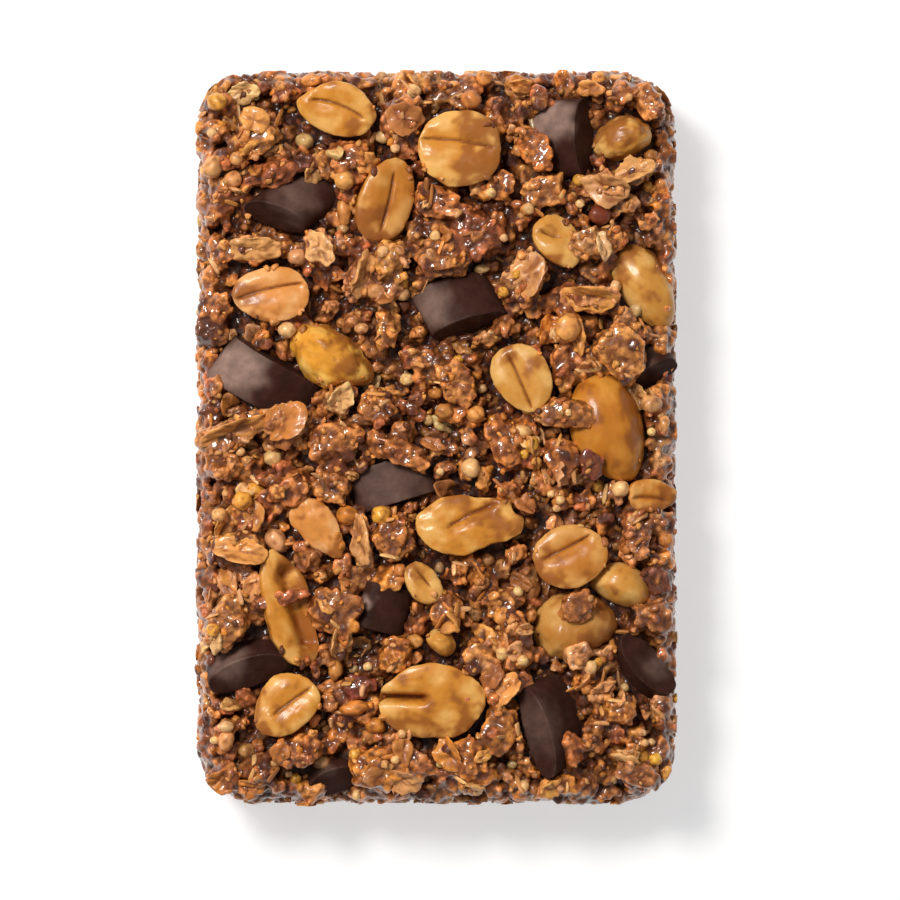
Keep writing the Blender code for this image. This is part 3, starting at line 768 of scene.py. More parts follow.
# tone, glaze amount and side, unevenness, the groove's three points with its depth and width,
# and the outline: how far it reaches every 20 degrees, in percent of the oval
peanutForms = (
    ("golden", 0.30, 10, 0.9, (-3.5, 0.55, -0.1, 0.68, 3.5, -0.41, 0.45, 0.16),
     (98, 94, 88, 91, 96, 98, 90, 88, 93, 102, 97, 91, 86, 85, 88, 93, 97, 95)),
    ("golden", 0.60, -5, 1.0, (-4.7, 0.69, -0.2, 0.84, 4.1, 0.46, 0.40, 0.15),
     (100, 99, 105, 108, 104, 99, 100, 100, 96, 98, 99, 101, 102, 105, 101, 101, 106, 104)),
    ("amber", 0.45, 180, 1.1, (-3.7, -0.53, 0.05, -0.47, 3.5, 0.0, 0.38, 0.17),
     (101, 98, 96, 96, 98, 102, 107, 105, 103, 100, 96, 107, 113, 110, 107, 106, 105, 103)),
    ("pink", 0.35, 200, 1.0, (-4.3, 0.0, -0.2, 0.54, 4.1, 0.56, 0.45, 0.15),
     (94, 92, 94, 96, 94, 96, 98, 100, 98, 94, 92, 89, 94, 102, 107, 108, 105, 100)),
    ("yellow", 0.42, 60, 3.0, None,
     (115, 105, 90, 78, 79, 88, 100, 105, 105, 104, 101, 100, 107, 115, 116, 100, 96, 107)),
    ("pale", 0.35, -20, 1.0, (-1.9, -0.48, -0.45, 0.25, 0.5, 1.13, 0.30, 0.15),
     (110, 115, 114, 115, 120, 120, 112, 97, 85, 80, 80, 80, 80, 80, 80, 80, 85, 97)),
    ("pale", 0.60, 100, 2.6, None,
     (85, 75, 78, 85, 87, 95, 102, 107, 114, 122, 116, 101, 93, 78, 70, 74, 79, 86)),
    ("pale", 0.45, 200, 0.9, None, None),
    ("pale", 0.25, 150, 0.8, (-3.2, -0.03, 0.35, -0.21, 3.9, -0.55, 0.55, 0.14),
     (94, 93, 98, 103, 106, 108, 104, 99, 93, 91, 94, 99, 100, 95, 88, 87, 90, 94)),
    # Its glaze on the right flank (side 90) is painted shade
    ("orange", 0.45, 90, 0.8, None,
     (101, 106, 101, 97, 97, 98, 102, 104, 102, 101, 103, 105, 106, 106, 104, 95, 92, 94)),
    ("golden", 0.42, 60, 1.8, (-2.9, -0.31, 0.05, 1.12, 3.4, 2.23, 0.55, 0.22),
     (103, 90, 100, 90, 88, 97, 103, 105, 106, 102, 103, 105, 108, 103, 86, 78, 95, 104)),
    ("amber", 0.35, 180, 1.0, (-3.3, 1.40, 0.1, 1.10, 3.4, 1.01, 0.50, 0.16),
     (91, 89, 90, 97, 104, 108, 112, 108, 99, 97, 96, 98, 104, 108, 108, 106, 104, 99)),
    ("pale", 0.20, 180, 0.7, None,
     (101, 96, 94, 98, 102, 100, 97, 94, 91, 98, 102, 87, 83, 81, 84, 92, 105, 109)),
    # Its glaze on the right flank (side 90) is painted shade
    ("golden", 0.62, 90, 1.2, (-4.8, 0.95, 0.5, 0.95, 5.8, 1.10, 1.25, 1.10),
     (105, 107, 107, 88, 84, 94, 96, 90, 93, 101, 97, 94, 90, 86, 97, 108, 108, 106)),
    ("golden", 0.30, 180, 1.2, (-2.3, 0.05, 0.5, -0.10, 3.6, -0.31, 0.42, 0.15),
     (87, 89, 95, 102, 105, 100, 94, 92, 95, 99, 100, 100, 97, 94, 95, 97, 97, 91)),
    ("golden", 0.50, -70, 1.3, (-7.4, -1.20, -3.7, -0.25, -0.9, 0.36, 2.00, 0.42),
     (86, 94, 104, 105, 104, 103, 98, 93, 91, 98, 104, 108, 105, 97, 88, 88, 86, 84)),
    ("tan", 0.50, -60, 1.8, None,
     (100, 99, 106, 108, 103, 105, 110, 116, 95, 78, 75, 75, 85, 97, 108, 112, 105, 101)),
    ("pale", 0.30, 180, 1.1, (-1.6, -0.38, -0.2, -0.03, 1.3, 0.24, 0.30, 0.14),
     (114, 112, 106, 95, 85, 82, 80, 82, 90, 98, 103, 108, 110, 110, 112, 115, 116, 115)),
    ("amber", 0.65, 290, 2.4, (-2.2, -0.5, 0.2, -0.2, 2.4, -0.6, 0.35, 0.30),
     (105, 110, 102, 95, 90, 88, 90, 92, 84, 80, 86, 95, 102, 102, 96, 92, 95, 102)),
    ("pink", 0.35, 30, 1.8, None,
     (106, 99, 96, 104, 118, 122, 118, 106, 93, 88, 95, 104, 107, 97, 92, 92, 95, 102)),
    ("pale", 0.20, 180, 1.6, None,
     (95, 90, 85, 84, 84, 84, 85, 86, 86, 86, 86, 84, 80, 80, 82, 90, 97, 97)),
)


# How far a peanut reaches in this direction, smoothed between the outline's values
def outlineShare(outline, x, y):
    if not outline:
        return 1.0
    step = math.atan2(y, x) / (2 * math.pi) * len(outline) % len(outline)
    first = int(step) % len(outline)
    share = step - int(step)
    share = share * share * (3 - 2 * share)
    return outline[first] / 100 * (1 - share) + outline[(first + 1) % len(outline)] / 100 * share


# How deep the groove and its shallow valley are here, in millimetres, and how near its middle is
def grooveDip(groove, x, y):
    startX, startY, midX, midY, endX, endY, depth, width = groove
    middle = (
        startY * (x - midX) * (x - endX) / ((startX - midX) * (startX - endX))
        + midY * (x - startX) * (x - endX) / ((midX - startX) * (midX - endX))
        + endY * (x - startX) * (x - midX) / ((endX - startX) * (endX - midX))
    )
    window = smoothStep(startX - 0.3, startX + 0.9, x) * (1 - smoothStep(endX - 0.9, endX + 0.3, x))
    seam = window * np.exp(-(((y - middle) / width) ** 2))
    valley = window * peanutLook["valley"] * np.exp(-(((y - middle) / 1.15) ** 2))
    return depth * seam + valley, seam


def shapePeanut(length, width, thickness, form, draw):
    unevenness, groove, outline = form[3:]
    shape = bmesh.new()
    sides, rings = peanutLook["sides"], peanutLook["rings"]
    bmesh.ops.create_uvsphere(shape, u_segments=sides, v_segments=rings, radius=1.0)
    bmesh.ops.rotate(shape, matrix=Matrix.Rotation(math.pi / 2, 3, "Y"), verts=shape.verts)
    shift = randomVector(draw, noiseReach)
    for vert in shape.verts:
        x, y, z = vert.co
        way = Vector((x, y, z)).normalized()
        reach = outlineShare(outline, x, y)
        rise = z * (thickness if z < 0 else peanutLook["bulge"])
        place = Vector((x * reach * length / 2, y * reach * width / 2, rise))
        if not outline:
            place.y *= 1 - 0.16 * x
        if groove and z > 0:
            place.z -= grooveDip(groove, place.x, place.y)[0] * min(1, z * 4)
        if z < 0:
            place.z += 0.05 * math.cos(9 * y) * (1 - x * x)
        swell = 0.16 * noise.noise(place / 2.4 + shift) + 0.055 * noise.noise(place / 0.8 + shift)
        swell += 0.025 * noise.noise(place / 0.35 - shift)
        vert.co = (place + way * unevenness * swell) * mm
    return shape


# Pale at the rim, deeper round the groove, and brown where the syrup has run over it; on some peanuts that
# brown on one flank is painted shade, and the groove line is darkened with painted shade
def glazePeanut(mesh, length, form, draw):
    points = readPoints(mesh)
    normals = readNormals(mesh)
    light, deep = (np.array(c) for c in peanutTones[form[0]])
    glaze, side = form[1], math.radians(form[2])
    near = Neighbours(mesh)
    hollow = -np.einsum("ij,ij->i", points - near.average(points, 8), normals) / mm
    shift = Vector((draw.uniform(-noiseReach, noiseReach), draw.uniform(-noiseReach, noiseReach), 0))
    blotch = np.array([noise.noise(Vector(p) / (2.1 * mm) + shift) for p in points])
    speck = np.array([noise.noise(Vector(p) / (0.7 * mm) - shift) for p in points])
    middle = 1 - np.hypot(points[:, 0] / (0.5 * length), points[:, 1] / (0.36 * length))
    toned = smoothStep(-0.35, 0.55, 0.9 * middle + 1.0 * blotch + 0.3 * speck)[:, None]
    reach = (points[:, 0] * math.cos(side) + points[:, 1] * math.sin(side)) / (length / 2)
    amount = smoothStep(0.30, 0.72, glaze * (0.75 + 1.1 * reach) + 0.75 * blotch + 0.3 * speck)
    amount = np.clip(amount * 0.8 + 0.9 * smoothStep(0.02, 0.12, hollow), 0, 0.95)[:, None]
    colour = light * (1 - toned) + deep * toned
    colour = colour * (1 - amount) + np.array(peanutLook["glazeAndShadeColour"]) * amount
    # Painted shade along the groove line
    if form[4]:
        seam = grooveDip(form[4][:7] + (0.13,), points[:, 0] / mm, points[:, 1] / mm)[1]
        seam = (0.85 * seam * (points[:, 2] > -0.6 * mm))[:, None]
        colour = colour * (1 - seam) + np.array(peanutLook["grooveShadeColour"]) * seam
    writeColour(mesh, "tint", np.column_stack([colour, amount]))


def makePeanuts(material):
    draw = random.Random(21)
    meshes = []
    for number, (place, form) in enumerate(zip(peanutPlaces, peanutForms), 1):
        x, y, turn, length, width, up, roll, lift, height = place
        thickness = peanutLook["thickness"] * min(1.0, width / 6)
        shape = shapePeanut(length, width, thickness, form, draw)
        if up == "outer":
            bmesh.ops.scale(shape, vec=(1, 1, -1), verts=shape.verts)
            bmesh.ops.reverse_faces(shape, faces=shape.faces)
        mesh = meshFrom(shape, f"peanutHalf{number:02d}")
        glazePeanut(mesh, length * mm, form, draw)
        mesh.transform(placement(x * mm, y * mm, height * mm, turn, roll, lift))
        addPiece(f"peanutHalf{number:02d}", mesh, material, "peanut", f"peanut_half_{number:02d}")
        meshes.append(mesh)
    print("peanuts:", len(peanutPlaces))
    return meshes


chunkLook = {
    "topShare": 0.6,
    "topSteps": 14,
    "belowSteps": 8,
    "edge": 0.7,
    "voxel": 0.13,
    "dents": 0.14,
    "grain": 0.04,
    "dark": (0.041, 0.0155, 0.0105),
    # Painted sheen colour, a paler grey-brown for where the light reflects
    "paintedSheen": (0.30, 0.190, 0.150),
}
# Where each chunk has a painted sheen, a paler patch on its upward faces standing in for the light's
# reflection: x, y, how far it spreads, and how strong it is
chunkSheenPlaces = (
    (-16.8, 28.8, 4.0, 0.30), (13.6, 38.5, 4.2, 0.88), (-1.3, 15.9, 4.5, 0.45), (-24.1, 8.3, 5.2, 1.0),
    (-5.3, -5.5, 7.0, 0.25), (24.5, 10.0, 3.0, 0.25), (-8.3, -19.6, 1.3, 1.0), (-25.3, -26.4, 4.0, 0.50),
    (11.8, -34.7, 5.0, 0.22), (26.8, -27.2, 3.0, 0.25), (-14.0, -39.6, 2.0, 0.25),
)


def shapeChunk(width, thickness, run, slant):
    shape = bmesh.new()
    edge = chunkLook["edge"]
    bulge = thickness - edge
    outline = []
    top = chunkLook["topShare"]
    for share, steps, side in ((top, chunkLook["topSteps"], 1), (1 - top, chunkLook["belowSteps"], -1)):
        for step in range(steps + 1):
            angle = math.pi * step / steps
            rise = edge / 2 + bulge * share * math.sin(angle)
            outline.append((side * width / 2 * math.cos(angle), side * rise))
    front = shape.faces.new([shape.verts.new((x - slant / 2, -run / 2, z)) for x, z in outline])
    moved = bmesh.ops.extrude_face_region(shape, geom=[front])["geom"]
    far = [part for part in moved if isinstance(part, bmesh.types.BMVert)]
    bmesh.ops.translate(shape, vec=(slant, run, 0), verts=far)
    bmesh.ops.recalc_face_normals(shape, faces=shape.faces)
    bmesh.ops.scale(shape, vec=(mm, mm, mm), verts=shape.verts)
    return shape


def paintChunk(mesh, paintedSheen):
    points = readPoints(mesh) / mm
    normals = readNormals(mesh)
    near = Neighbours(mesh)
    edge = np.einsum("ij,ij->i", points - near.average(points, 7), normals)
    # Painted sheen: a paler patch on the upward faces, where the light's reflection falls
    x, y, spread, strength = paintedSheen
    away = np.hypot(points[:, 0] - x, points[:, 1] - y)
    cloud = np.array([noise.noise(Vector(p) / 1.6) for p in points])
    share = strength * (1 - smoothStep(0.2 * spread, spread, away + 1.2 * cloud))
    share *= smoothStep(0.1, 0.7, normals[:, 2])
    # Painted highlight along the sharp edges
    share = np.clip(share + 0.50 * smoothStep(0.04, 0.10, edge), 0, 1)[:, None]
    dark, pale = np.array(chunkLook["dark"]), np.array(chunkLook["paintedSheen"])
    writeColour(mesh, "tint", dark * (1 - share) + pale * share)


def makeChunks(material):
    for number, (place, paintedSheen) in enumerate(zip(chunkPlaces, chunkSheenPlaces), 1):
        x, y, turn, width, thickness, run, slant, tilt, lift, height = place
        name = f"chocolateChunk{number:02d}"
        block = meshFrom(shapeChunk(width, thickness, run, slant), name)
        worker = bpy.data.objects.new(name + "Work", block)
        bpy.context.scene.collection.objects.link(worker)
        fuse = worker.modifiers.new("fuse", "REMESH")
        fuse.mode = "VOXEL"
        fuse.voxel_size = chunkLook["voxel"] * mm
        smooth = worker.modifiers.new("smooth", "SMOOTH")
        smooth.factor = 0.5
        smooth.iterations = 2
        displace(worker, name + "Dents", "CLOUDS", 2.2, chunkLook["dents"])
        displace(worker, name + "Grain", "CLOUDS", 0.5, chunkLook["grain"])
        done = bpy.data.meshes.new_from_object(worker.evaluated_get(bpy.context.evaluated_depsgraph_get()))
        bpy.data.objects.remove(worker)
        done.shade_smooth()
        done.transform(placement(x * mm, y * mm, height * mm, turn, tilt, lift))
        paintChunk(done, paintedSheen)
        addPiece(name, done, material, "chocolate", f"chocolate_chunk_{number:02d}")
    print("chocolate chunks:", len(chunkPlaces))


def roastedPeanut():
    sockets = {"IOR": 1.46, "Coat Weight": 0.24, "Coat Roughness": 0.17, "Specular IOR Level": 0.3}
    material, tree, shader, spot, tint = startTinted("roastedPeanut", sockets)
    mottle = cloudNoise(tree, spot, 900, 5, 0.65)
    toasted = mapRange(tree, mottle, 0.45, 0.8, 0.0, 0.45)
    base = mixColours(tree, toasted, tint.outputs["Color"], (0.45, 0.16, 0.035, 1))
    tree.links.new(base, shader.inputs["Base Color"])
    tree.links.new(mapRange(tree, mottle, 0.3, 0.7, 0.46, 0.26), shader.inputs["Roughness"])
    wrinkle = cloudNoise(tree, spot, 1700, 4)
    tree.links.new(addBump(tree, wrinkle, 0.35, 0.08), shader.inputs["Normal"])
    return material


def darkChocolate():
    sockets = {"IOR": 1.45, "Specular IOR Level": 0.09}
    material, tree, shader, spot, tint = startTinted("darkChocolate", sockets)
    cloud = cloudNoise(tree, spot, 500, 6, 0.65)
    base = shaded(tree, tint.outputs["Color"], mapRange(tree, cloud, 0.35, 0.7, 0.75, 1.35))
    tree.links.new(base, shader.inputs["Base Color"])
    tree.links.new(mapRange(tree, cloud, 0.3, 0.7, 0.34, 0.5), shader.inputs["Roughness"])
    scuff = cloudNoise(tree, spot, 2600, 3)
    tree.links.new(addBump(tree, scuff, 0.25, 0.05), shader.inputs["Normal"])
    return material


def toastedGrain():
    sockets = {"IOR": 1.46, "Coat Weight": 0.3, "Coat Roughness": 0.12}
    material, tree, shader, spot, tint = startTinted("toastedGrain", sockets)
    mottle = cloudNoise(tree, spot, 1500, 5, 0.65)
    toasted = mapRange(tree, mottle, 0.5, 0.75, 0.0, 0.6)
    base = mixColours(tree, toasted, tint.outputs["Color"], (0.30, 0.10, 0.028, 1))
    tree.links.new(base, shader.inputs["Base Color"])
    tree.links.new(mapRange(tree, mottle, 0.3, 0.7, 0.5, 0.3), shader.inputs["Roughness"])
    tree.links.new(addBump(tree, mottle, 0.4, 0.1), shader.inputs["Normal"])
    return material


# Loose things on the top that can be told apart. Beads: x, y, length, width, turn, tone.
beadPlaces = (
    (-26.8, 36.5, 1.4, 1.4, 0, "pale"), (-26.3, 40.3, 2.4, 2.3, 0, "yellow"),
    (-15.8, 35.7, 2.2, 2.0, 0, "pale"), (-24.4, 31.0, 2.4, 2.0, 30, "tan"),
    (-26.8, 32.5, 2.9, 2.3, 60, "tan"), (-11.0, 30.8, 2.4, 2.3, 0, "golden"),
    (-11.0, 27.3, 3.8, 2.0, 90, "golden"), (-16.7, 21.7, 2.4, 2.0, 0, "peach"),
    (-7.3, 17.6, 2.4, 1.9, 0, "tan"), (-4.1, 17.3, 1.9, 1.8, 0, "pale"),
    (-15.0, 43.0, 2.6, 1.6, 10, "golden"), (-2.9, 41.7, 2.4, 1.6, 0, "pale"),
    (-6.4, 36.2, 2.2, 1.7, 0, "pale"), (-4.9, 34.7, 1.2, 1.1, 0, "pale"),
    (5.8, 43.3, 2.2, 2.0, 0, "golden"), (4.2, 40.6, 2.4, 2.3, 0, "amber"),
    (5.5, 20.3, 2.0, 1.2, 0, "pale"), (-0.1, 24.2, 1.4, 1.4, 0, "pale"),
    (19.6, 43.3, 1.8, 1.7, 0, "golden"), (25.9, 33.9, 1.8, 1.7, 0, "amber"),
    (17.3, 28.1, 1.2, 1.1, 0, "pale"), (19.7, 26.7, 2.9, 2.4, 0, "red"),
    (24.2, 15.5, 2.4, 1.8, 60, "pale"), (21.6, 18.2, 1.4, 1.4, 0, "pale"),
    (-17.9, 12.9, 2.2, 2.0, 0, "pale"), (-9.0, 13.1, 1.8, 1.4, 0, "peach"),
    (-3.5, 7.0, 1.7, 1.6, 0, "pale"), (-23.5, -1.7, 1.2, 1.1, 0, "pale"),
    (-22.7, -2.7, 1.1, 1.0, 0, "tan"), (-19.6, -2.5, 2.3, 2.1, 0, "pale"),
    (-15.6, -1.5, 1.3, 1.2, 0, "pale"), (-21.8, -6.3, 2.2, 2.0, 0, "yellow"),
    (-23.3, -7.6, 2.4, 2.3, 0, "yellow"), (-10.7, -9.3, 2.6, 2.5, 0, "orange"),
    (-6.6, -9.3, 2.4, 2.3, 0, "yellow"), (-19.2, -12.4, 3.4, 2.5, -60, "peach"),
    (-26.0, -9.3, 1.9, 1.8, 0, "tan"), (4.7, 2.8, 2.3, 2.1, 0, "golden"), (5.6, 5.9, 1.2, 1.1, 0, "pale"),
    (10.4, 0.7, 2.3, 1.6, 0, "pale"), (11.5, -0.9, 2.0, 1.6, 70, "yellow"),
    (4.2, -3.7, 2.4, 2.3, 0, "pale"), (0.5, -4.1, 1.1, 1.0, 0, "pale"), (22.2, -6.2, 2.2, 2.0, 0, "pale"),
    (13.9, -6.8, 1.1, 1.0, 0, "pale"), (14.9, -7.5, 1.2, 1.1, 0, "pale"),
    (14.5, -8.5, 1.0, 0.9, 0, "pale"), (15.8, 13.1, 3.5, 3.0, 80, "golden"),
    (25.9, 4.1, 2.6, 2.2, 0, "tan"), (27.4, 1.6, 2.2, 1.3, 80, "tan"), (25.9, 0.7, 1.1, 1.0, 0, "pale"),
    (-0.1, 5.3, 1.8, 1.4, 0, "amber"), (1.0, 3.1, 2.4, 2.0, 0, "amber"),
    (27.7, -12.4, 1.9, 1.8, 0, "amber"), (6.2, -14.7, 1.9, 1.6, 0, "tan"),
    (-2.6, -24.5, 2.2, 1.7, 0, "golden"), (-8.2, -27.5, 1.2, 1.1, 0, "pale"),
    (-12.1, -27.9, 2.6, 1.8, 80, "amber"), (-9.8, -32.5, 3.7, 1.8, 10, "orange"),
    (-7.3, -34.7, 2.6, 2.0, 0, "orange"), (-4.1, -35.6, 1.1, 1.0, 0, "pale"),
    (0.8, -36.4, 1.2, 1.1, 0, "pale"), (-22.8, -37.7, 2.2, 1.8, 0, "tan"),
    (-25.2, -36.4, 2.6, 1.9, 80, "tan"), (-26.6, -36.4, 1.1, 1.0, 0, "pale"),
    (-25.2, -34.7, 2.0, 1.4, 0, "pale"), (-16.9, -41.1, 1.4, 1.4, 0, "yellow"),
    (-4.9, -38.7, 1.2, 1.1, 0, "pale"), (-9.6, -43.0, 1.4, 1.0, 80, "pale"),
    (-13.8, -39.1, 2.3, 1.8, 0, "peach"), (4.7, -21.4, 1.8, 1.6, 0, "tan"),
    (11.5, -18.4, 3.1, 2.0, 80, "brown"), (11.5, -21.4, 1.7, 1.2, 70, "amber"),
    (22.7, -30.1, 1.2, 1.1, 0, "pale"), (24.6, -38.5, 2.3, 2.1, 0, "yellow"),
    (26.4, -38.7, 1.6, 1.5, 0, "yellow"), (27.8, -40.4, 2.0, 1.1, 80, "golden"),
    (25.1, -36.7, 1.0, 0.9, 0, "pale"), (24.8, -35.5, 1.0, 0.9, 0, "pale"),
    (0.5, -39.3, 1.1, 1.0, 0, "pale"), (7.9, -21.4, 2.3, 1.8, 60, "golden"),
)
# Oat flakes: x, y, length, width, turn, roll, lift, height above the granola, tone
flakePlaces = (
    (-8.9, 19.5, 5.6, 3.4, 76, 52, 0, 0.6, "tan"), (-23.3, 41.4, 4.0, 3.0, 20, 20, 10, 0.2, "pale"),
    (-3.8, 38.3, 4.8, 4.3, -20, 10, -12, 0.3, "brown"), (10.0, 42.2, 3.6, 2.6, 10, 30, 0, 0.2, "golden"),
    (-21.7, 22.7, 6.6, 3.6, 4, 30, 4, 0.4, "tan"), (-24.6, 0.5, 8.4, 4.0, 24, 34, 4, 0.3, "golden"),
    (-18.2, 1.9, 5.4, 4.7, 40, -14, 8, 0.4, "amber"), (-25.2, -10.4, 4.2, 3.0, 70, 24, 10, 0.2, "golden"),
    (-23.4, -13.6, 6.2, 3.6, -10, -20, 0, 0.4, "golden"), (-26.4, -19.1, 3.8, 3.0, 80, 30, 0, 0.1, "tan"),
    (-4.1, -41.0, 4.8, 3.0, -10, 36, 0, 0.2, "tan"), (-25.8, -41.2, 4.5, 3.0, 20, 20, -10, 0.2, "orange"),
    (-22.6, -42.0, 4.0, 2.4, 0, 30, 0, 0.1, "orange"), (20.4, 30.2, 5.8, 3.6, -12, 30, 0, 0.4, "tan"),
    (23.6, 31.8, 5.4, 3.2, 20, -34, 0, 0.4, "tan"), (18.5, 16.7, 6.6, 3.8, -5, 28, 0, 0.5, "golden"),
    (10.7, 19.2, 5.8, 4.4, 62, -20, 6, 0.4, "tan"), (-7.0, 23.2, 4.2, 3.2, -30, 26, 0, 0.3, "peach"),
    (-13.9, 22.7, 4.4, 3.4, -50, 20, 10, 0.4, "peach"), (-14.6, 32.3, 4.0, 3.0, 70, 36, 0, 0.3, "tan"),
    (-11.3, 4.7, 3.8, 3.0, 60, 14, 20, 0.9, "pale"), (-8.9, -12.2, 6.2, 3.0, -80, 46, 0, 0.6, "tan"),
    (13.6, 12.8, 3.8, 3.2, 80, 20, 0, 0.3, "orange"), (16.9, 12.2, 4.2, 3.0, -80, 40, 0, 0.5, "golden"),
    (24.2, 5.0, 3.6, 2.8, -60, 30, 0, 0.2, "tan"), (-11.6, -24.6, 4.0, 2.9, 80, 34, 0, 0.5, "tan"),
    (8.1, -30.4, 4.4, 3.4, 50, -24, 0, 0.4, "golden"), (20.0, -30.4, 3.6, 2.6, 30, 36, 0, 0.5, "tan"),
    (1.6, -38.0, 4.6, 3.4, -60, 30, 0, 0.4, "orange"), (23.0, -38.3, 3.0, 2.2, 10, 30, 0, 0.3, "pale"),
)
loose = {
    "seed": 12,
    "crown": 17.5,
    "randomBeads": 50,
    "wallBeads": 50,
    "beadSize": (0.9, 1.8),
    "randomFlakes": 85,
    "wallFlakes": 90,
    "flakeSize": (1.8, 3.8),
    "flakeThickness": 0.42,
    "flakeCurl": (0.10, 0.38),
    "crumbs": 1250,
    "wallCrumbs": 450,
    "crumbSize": (0.35, 1.15),
    "shards": 200,
    "shardSize": (1.2, 3.0),
}


def shapeBead(length, width, draw):
    shape = bmesh.new()
    bmesh.ops.create_icosphere(shape, subdivisions=3, radius=1.0)
    shift = randomVector(draw, noiseReach)
    patches = []
    for vert in shape.verts:
        patches.append(0.10 + 0.9 * noise.noise(vert.co * 1.9 + shift))
        swell = 1 + 0.16 * noise.noise(vert.co * 1.5 - shift) + 0.05 * noise.noise(vert.co * 4 - shift)
        vert.co = Vector((vert.co.x * length, vert.co.y * width, vert.co.z * width)) * swell * mm / 2
    return shape, patches


# A rolled oat: a thin curled disc with a crease along it
def shapeFlake(length, width, draw, sides=24, rings=9):
    shape = bmesh.new()
    bmesh.ops.create_uvsphere(shape, u_segments=sides, v_segments=rings, radius=1.0)
    shift = randomVector(draw, noiseReach)
    curl = draw.uniform(*loose["flakeCurl"])
    patches = []
    for vert in shape.verts:
        x, y, z = vert.co
        reach = 1 + 0.30 * noise.noise(Vector((x, y, 0)) * 1.6 + shift)
        reach += 0.12 * noise.noise(Vector((x, y, 1)) * 4.5)
        flat = Vector((x * reach, y * reach, 0))
        rise = curl * (flat.y**2 - 0.3) * width + 0.10 * curl * length * flat.x
        rise += 0.40 * noise.noise(flat * 1.9 + shift) + 0.22 * noise.noise(flat * 4.6 - shift)
        crease = math.exp(-((flat.y + 0.3 * noise.noise(flat * 2 + shift)) / 0.12) ** 2) * (1 - flat.x**2)
        rise += 0.10 * noise.noise(Vector((flat.x * 2, flat.y * 9, 0)) + shift) - 0.20 * crease
        patch = 0.6 * noise.noise(flat * 1.5 - shift) + 0.5 * noise.noise(flat * 4.2 + shift)
        patches.append(patch - 0.5 * crease + 0.30 * math.hypot(x, y) ** 4)
        vert.co = Vector((flat.x * length / 2, flat.y * width / 2, rise + z * loose["flakeThickness"])) * mm
    return shape, patches


# The tone with glazed brown patches, as one colour for each vertex
def patchy(tone, patches, draw):
    base = np.array(varied(tone, draw, 0.10))
    glaze = np.array((0.26, 0.070, 0.016))
    colours = []
    for patch in patches:
        share = float(smoothStep(-0.06, 0.34, -patch)) * (0.40 if tone == "pale" else 0.85)
        light = 1.0 + 0.25 * float(smoothStep(0.1, 0.5, patch))
        colour = (base * (1 - share) + glaze * share) * light
        colours.append((*colour.clip(0, 0.9), 1.0))
    return colours


# Finds where things dropped on the granola, or pushed at its walls, come to rest
class Surface:
    def __init__(self, *meshes):
        shape = bmesh.new()
        for mesh in meshes:
            shape.from_mesh(mesh)
        self.tree = BVHTree.FromBMesh(shape)
        shape.free()

    def below(self, x, y):
        return self.tree.ray_cast(Vector((x, y, 30)) * mm, Vector((0, 0, -1)))[:2]

    def wall(self, draw):
        along, out = outlinePoint(draw.uniform(0, outlineLength))
        start = Vector((along.x + out.x * 5, along.y + out.y * 5, draw.uniform(1.0, 12.5))) * mm
        return self.tree.ray_cast(start, Vector((-out.x, -out.y, 0)))[:2]


def addLoose(heap, name, material):
    mesh = heap.finish(name)
    points = readPoints(mesh)
    level = points[:, 2] / mm + shoulderDrops(points)
    # Painted shade: pieces low in the top's gaps darker, down to 0.35; those below 10.5 mm a quarter darker
    shade = np.where(points[:, 2] > 10.5 * mm, 0.35 + 0.65 * smoothStep(12.6, 15.0, level), 0.75)
    writeColour(mesh, "tint", readColour(mesh, "tint")[:, :3] * shade[:, None])
    writePoints(mesh, pressIntoShape(points, loose["crown"]))
    addPiece(name, mesh, material, "granola", "granola_mass")


def topSpot(draw, margin):
    while True:
        x = draw.uniform(-0.5, 0.5) * (mass["width"] - 2)
        y = draw.uniform(-0.5, 0.5) * (mass["length"] - 2)
        if not onInclusion(x, y, margin):
            return x, y


# A frame on the surface whose Z follows its normal, with a random turn and sway
def against(spot, normal, rise, draw, sway=0.3):
    lean = normal + randomVector(draw, sway)
    return settle(spot + normal * rise * mm, lean, draw)


def topFirst(topCount, wallCount):
    return [True] * loose[topCount] + [False] * loose[wallCount]


# Random places on the top or on a wall, and the way out there
def restingSpots(surface, draw, onTop, margin):
    for top in onTop:
        spot, normal = surface.below(*topSpot(draw, margin)) if top else surface.wall(draw)
        if spot is not None:
            yield spot, normal


def makeBeads(surface, material):
    draw = random.Random(loose["seed"])
    heap = Heap()
    for x, y, length, width, turn, tone in beadPlaces:
        spot, _ = surface.below(x, y)
        if spot is None:
            continue
        height = max(spot.z / mm, 12.5 - shoulderDrop(x, y)) + 0.22 * width
        shape, patches = shapeBead(length, width, draw)
        place = placement(x * mm, y * mm, height * mm, turn, 0, draw.uniform(-20, 20))
        heap.add(shape, place, patchy(tone, patches, draw))
    for spot, normal in restingSpots(surface, draw, topFirst("randomBeads", "wallBeads"), 0.2):
        size = draw.uniform(*loose["beadSize"])
        shape, patches = shapeBead(size, size * draw.uniform(0.8, 1), draw)
        tone = draw.choice(("pale", "pale", "golden", "tan", "amber", "yellow"))
        heap.add(shape, against(spot, normal, 0.10 * size, draw), patchy(tone, patches, draw))
    addLoose(heap, "grainBeads", material)


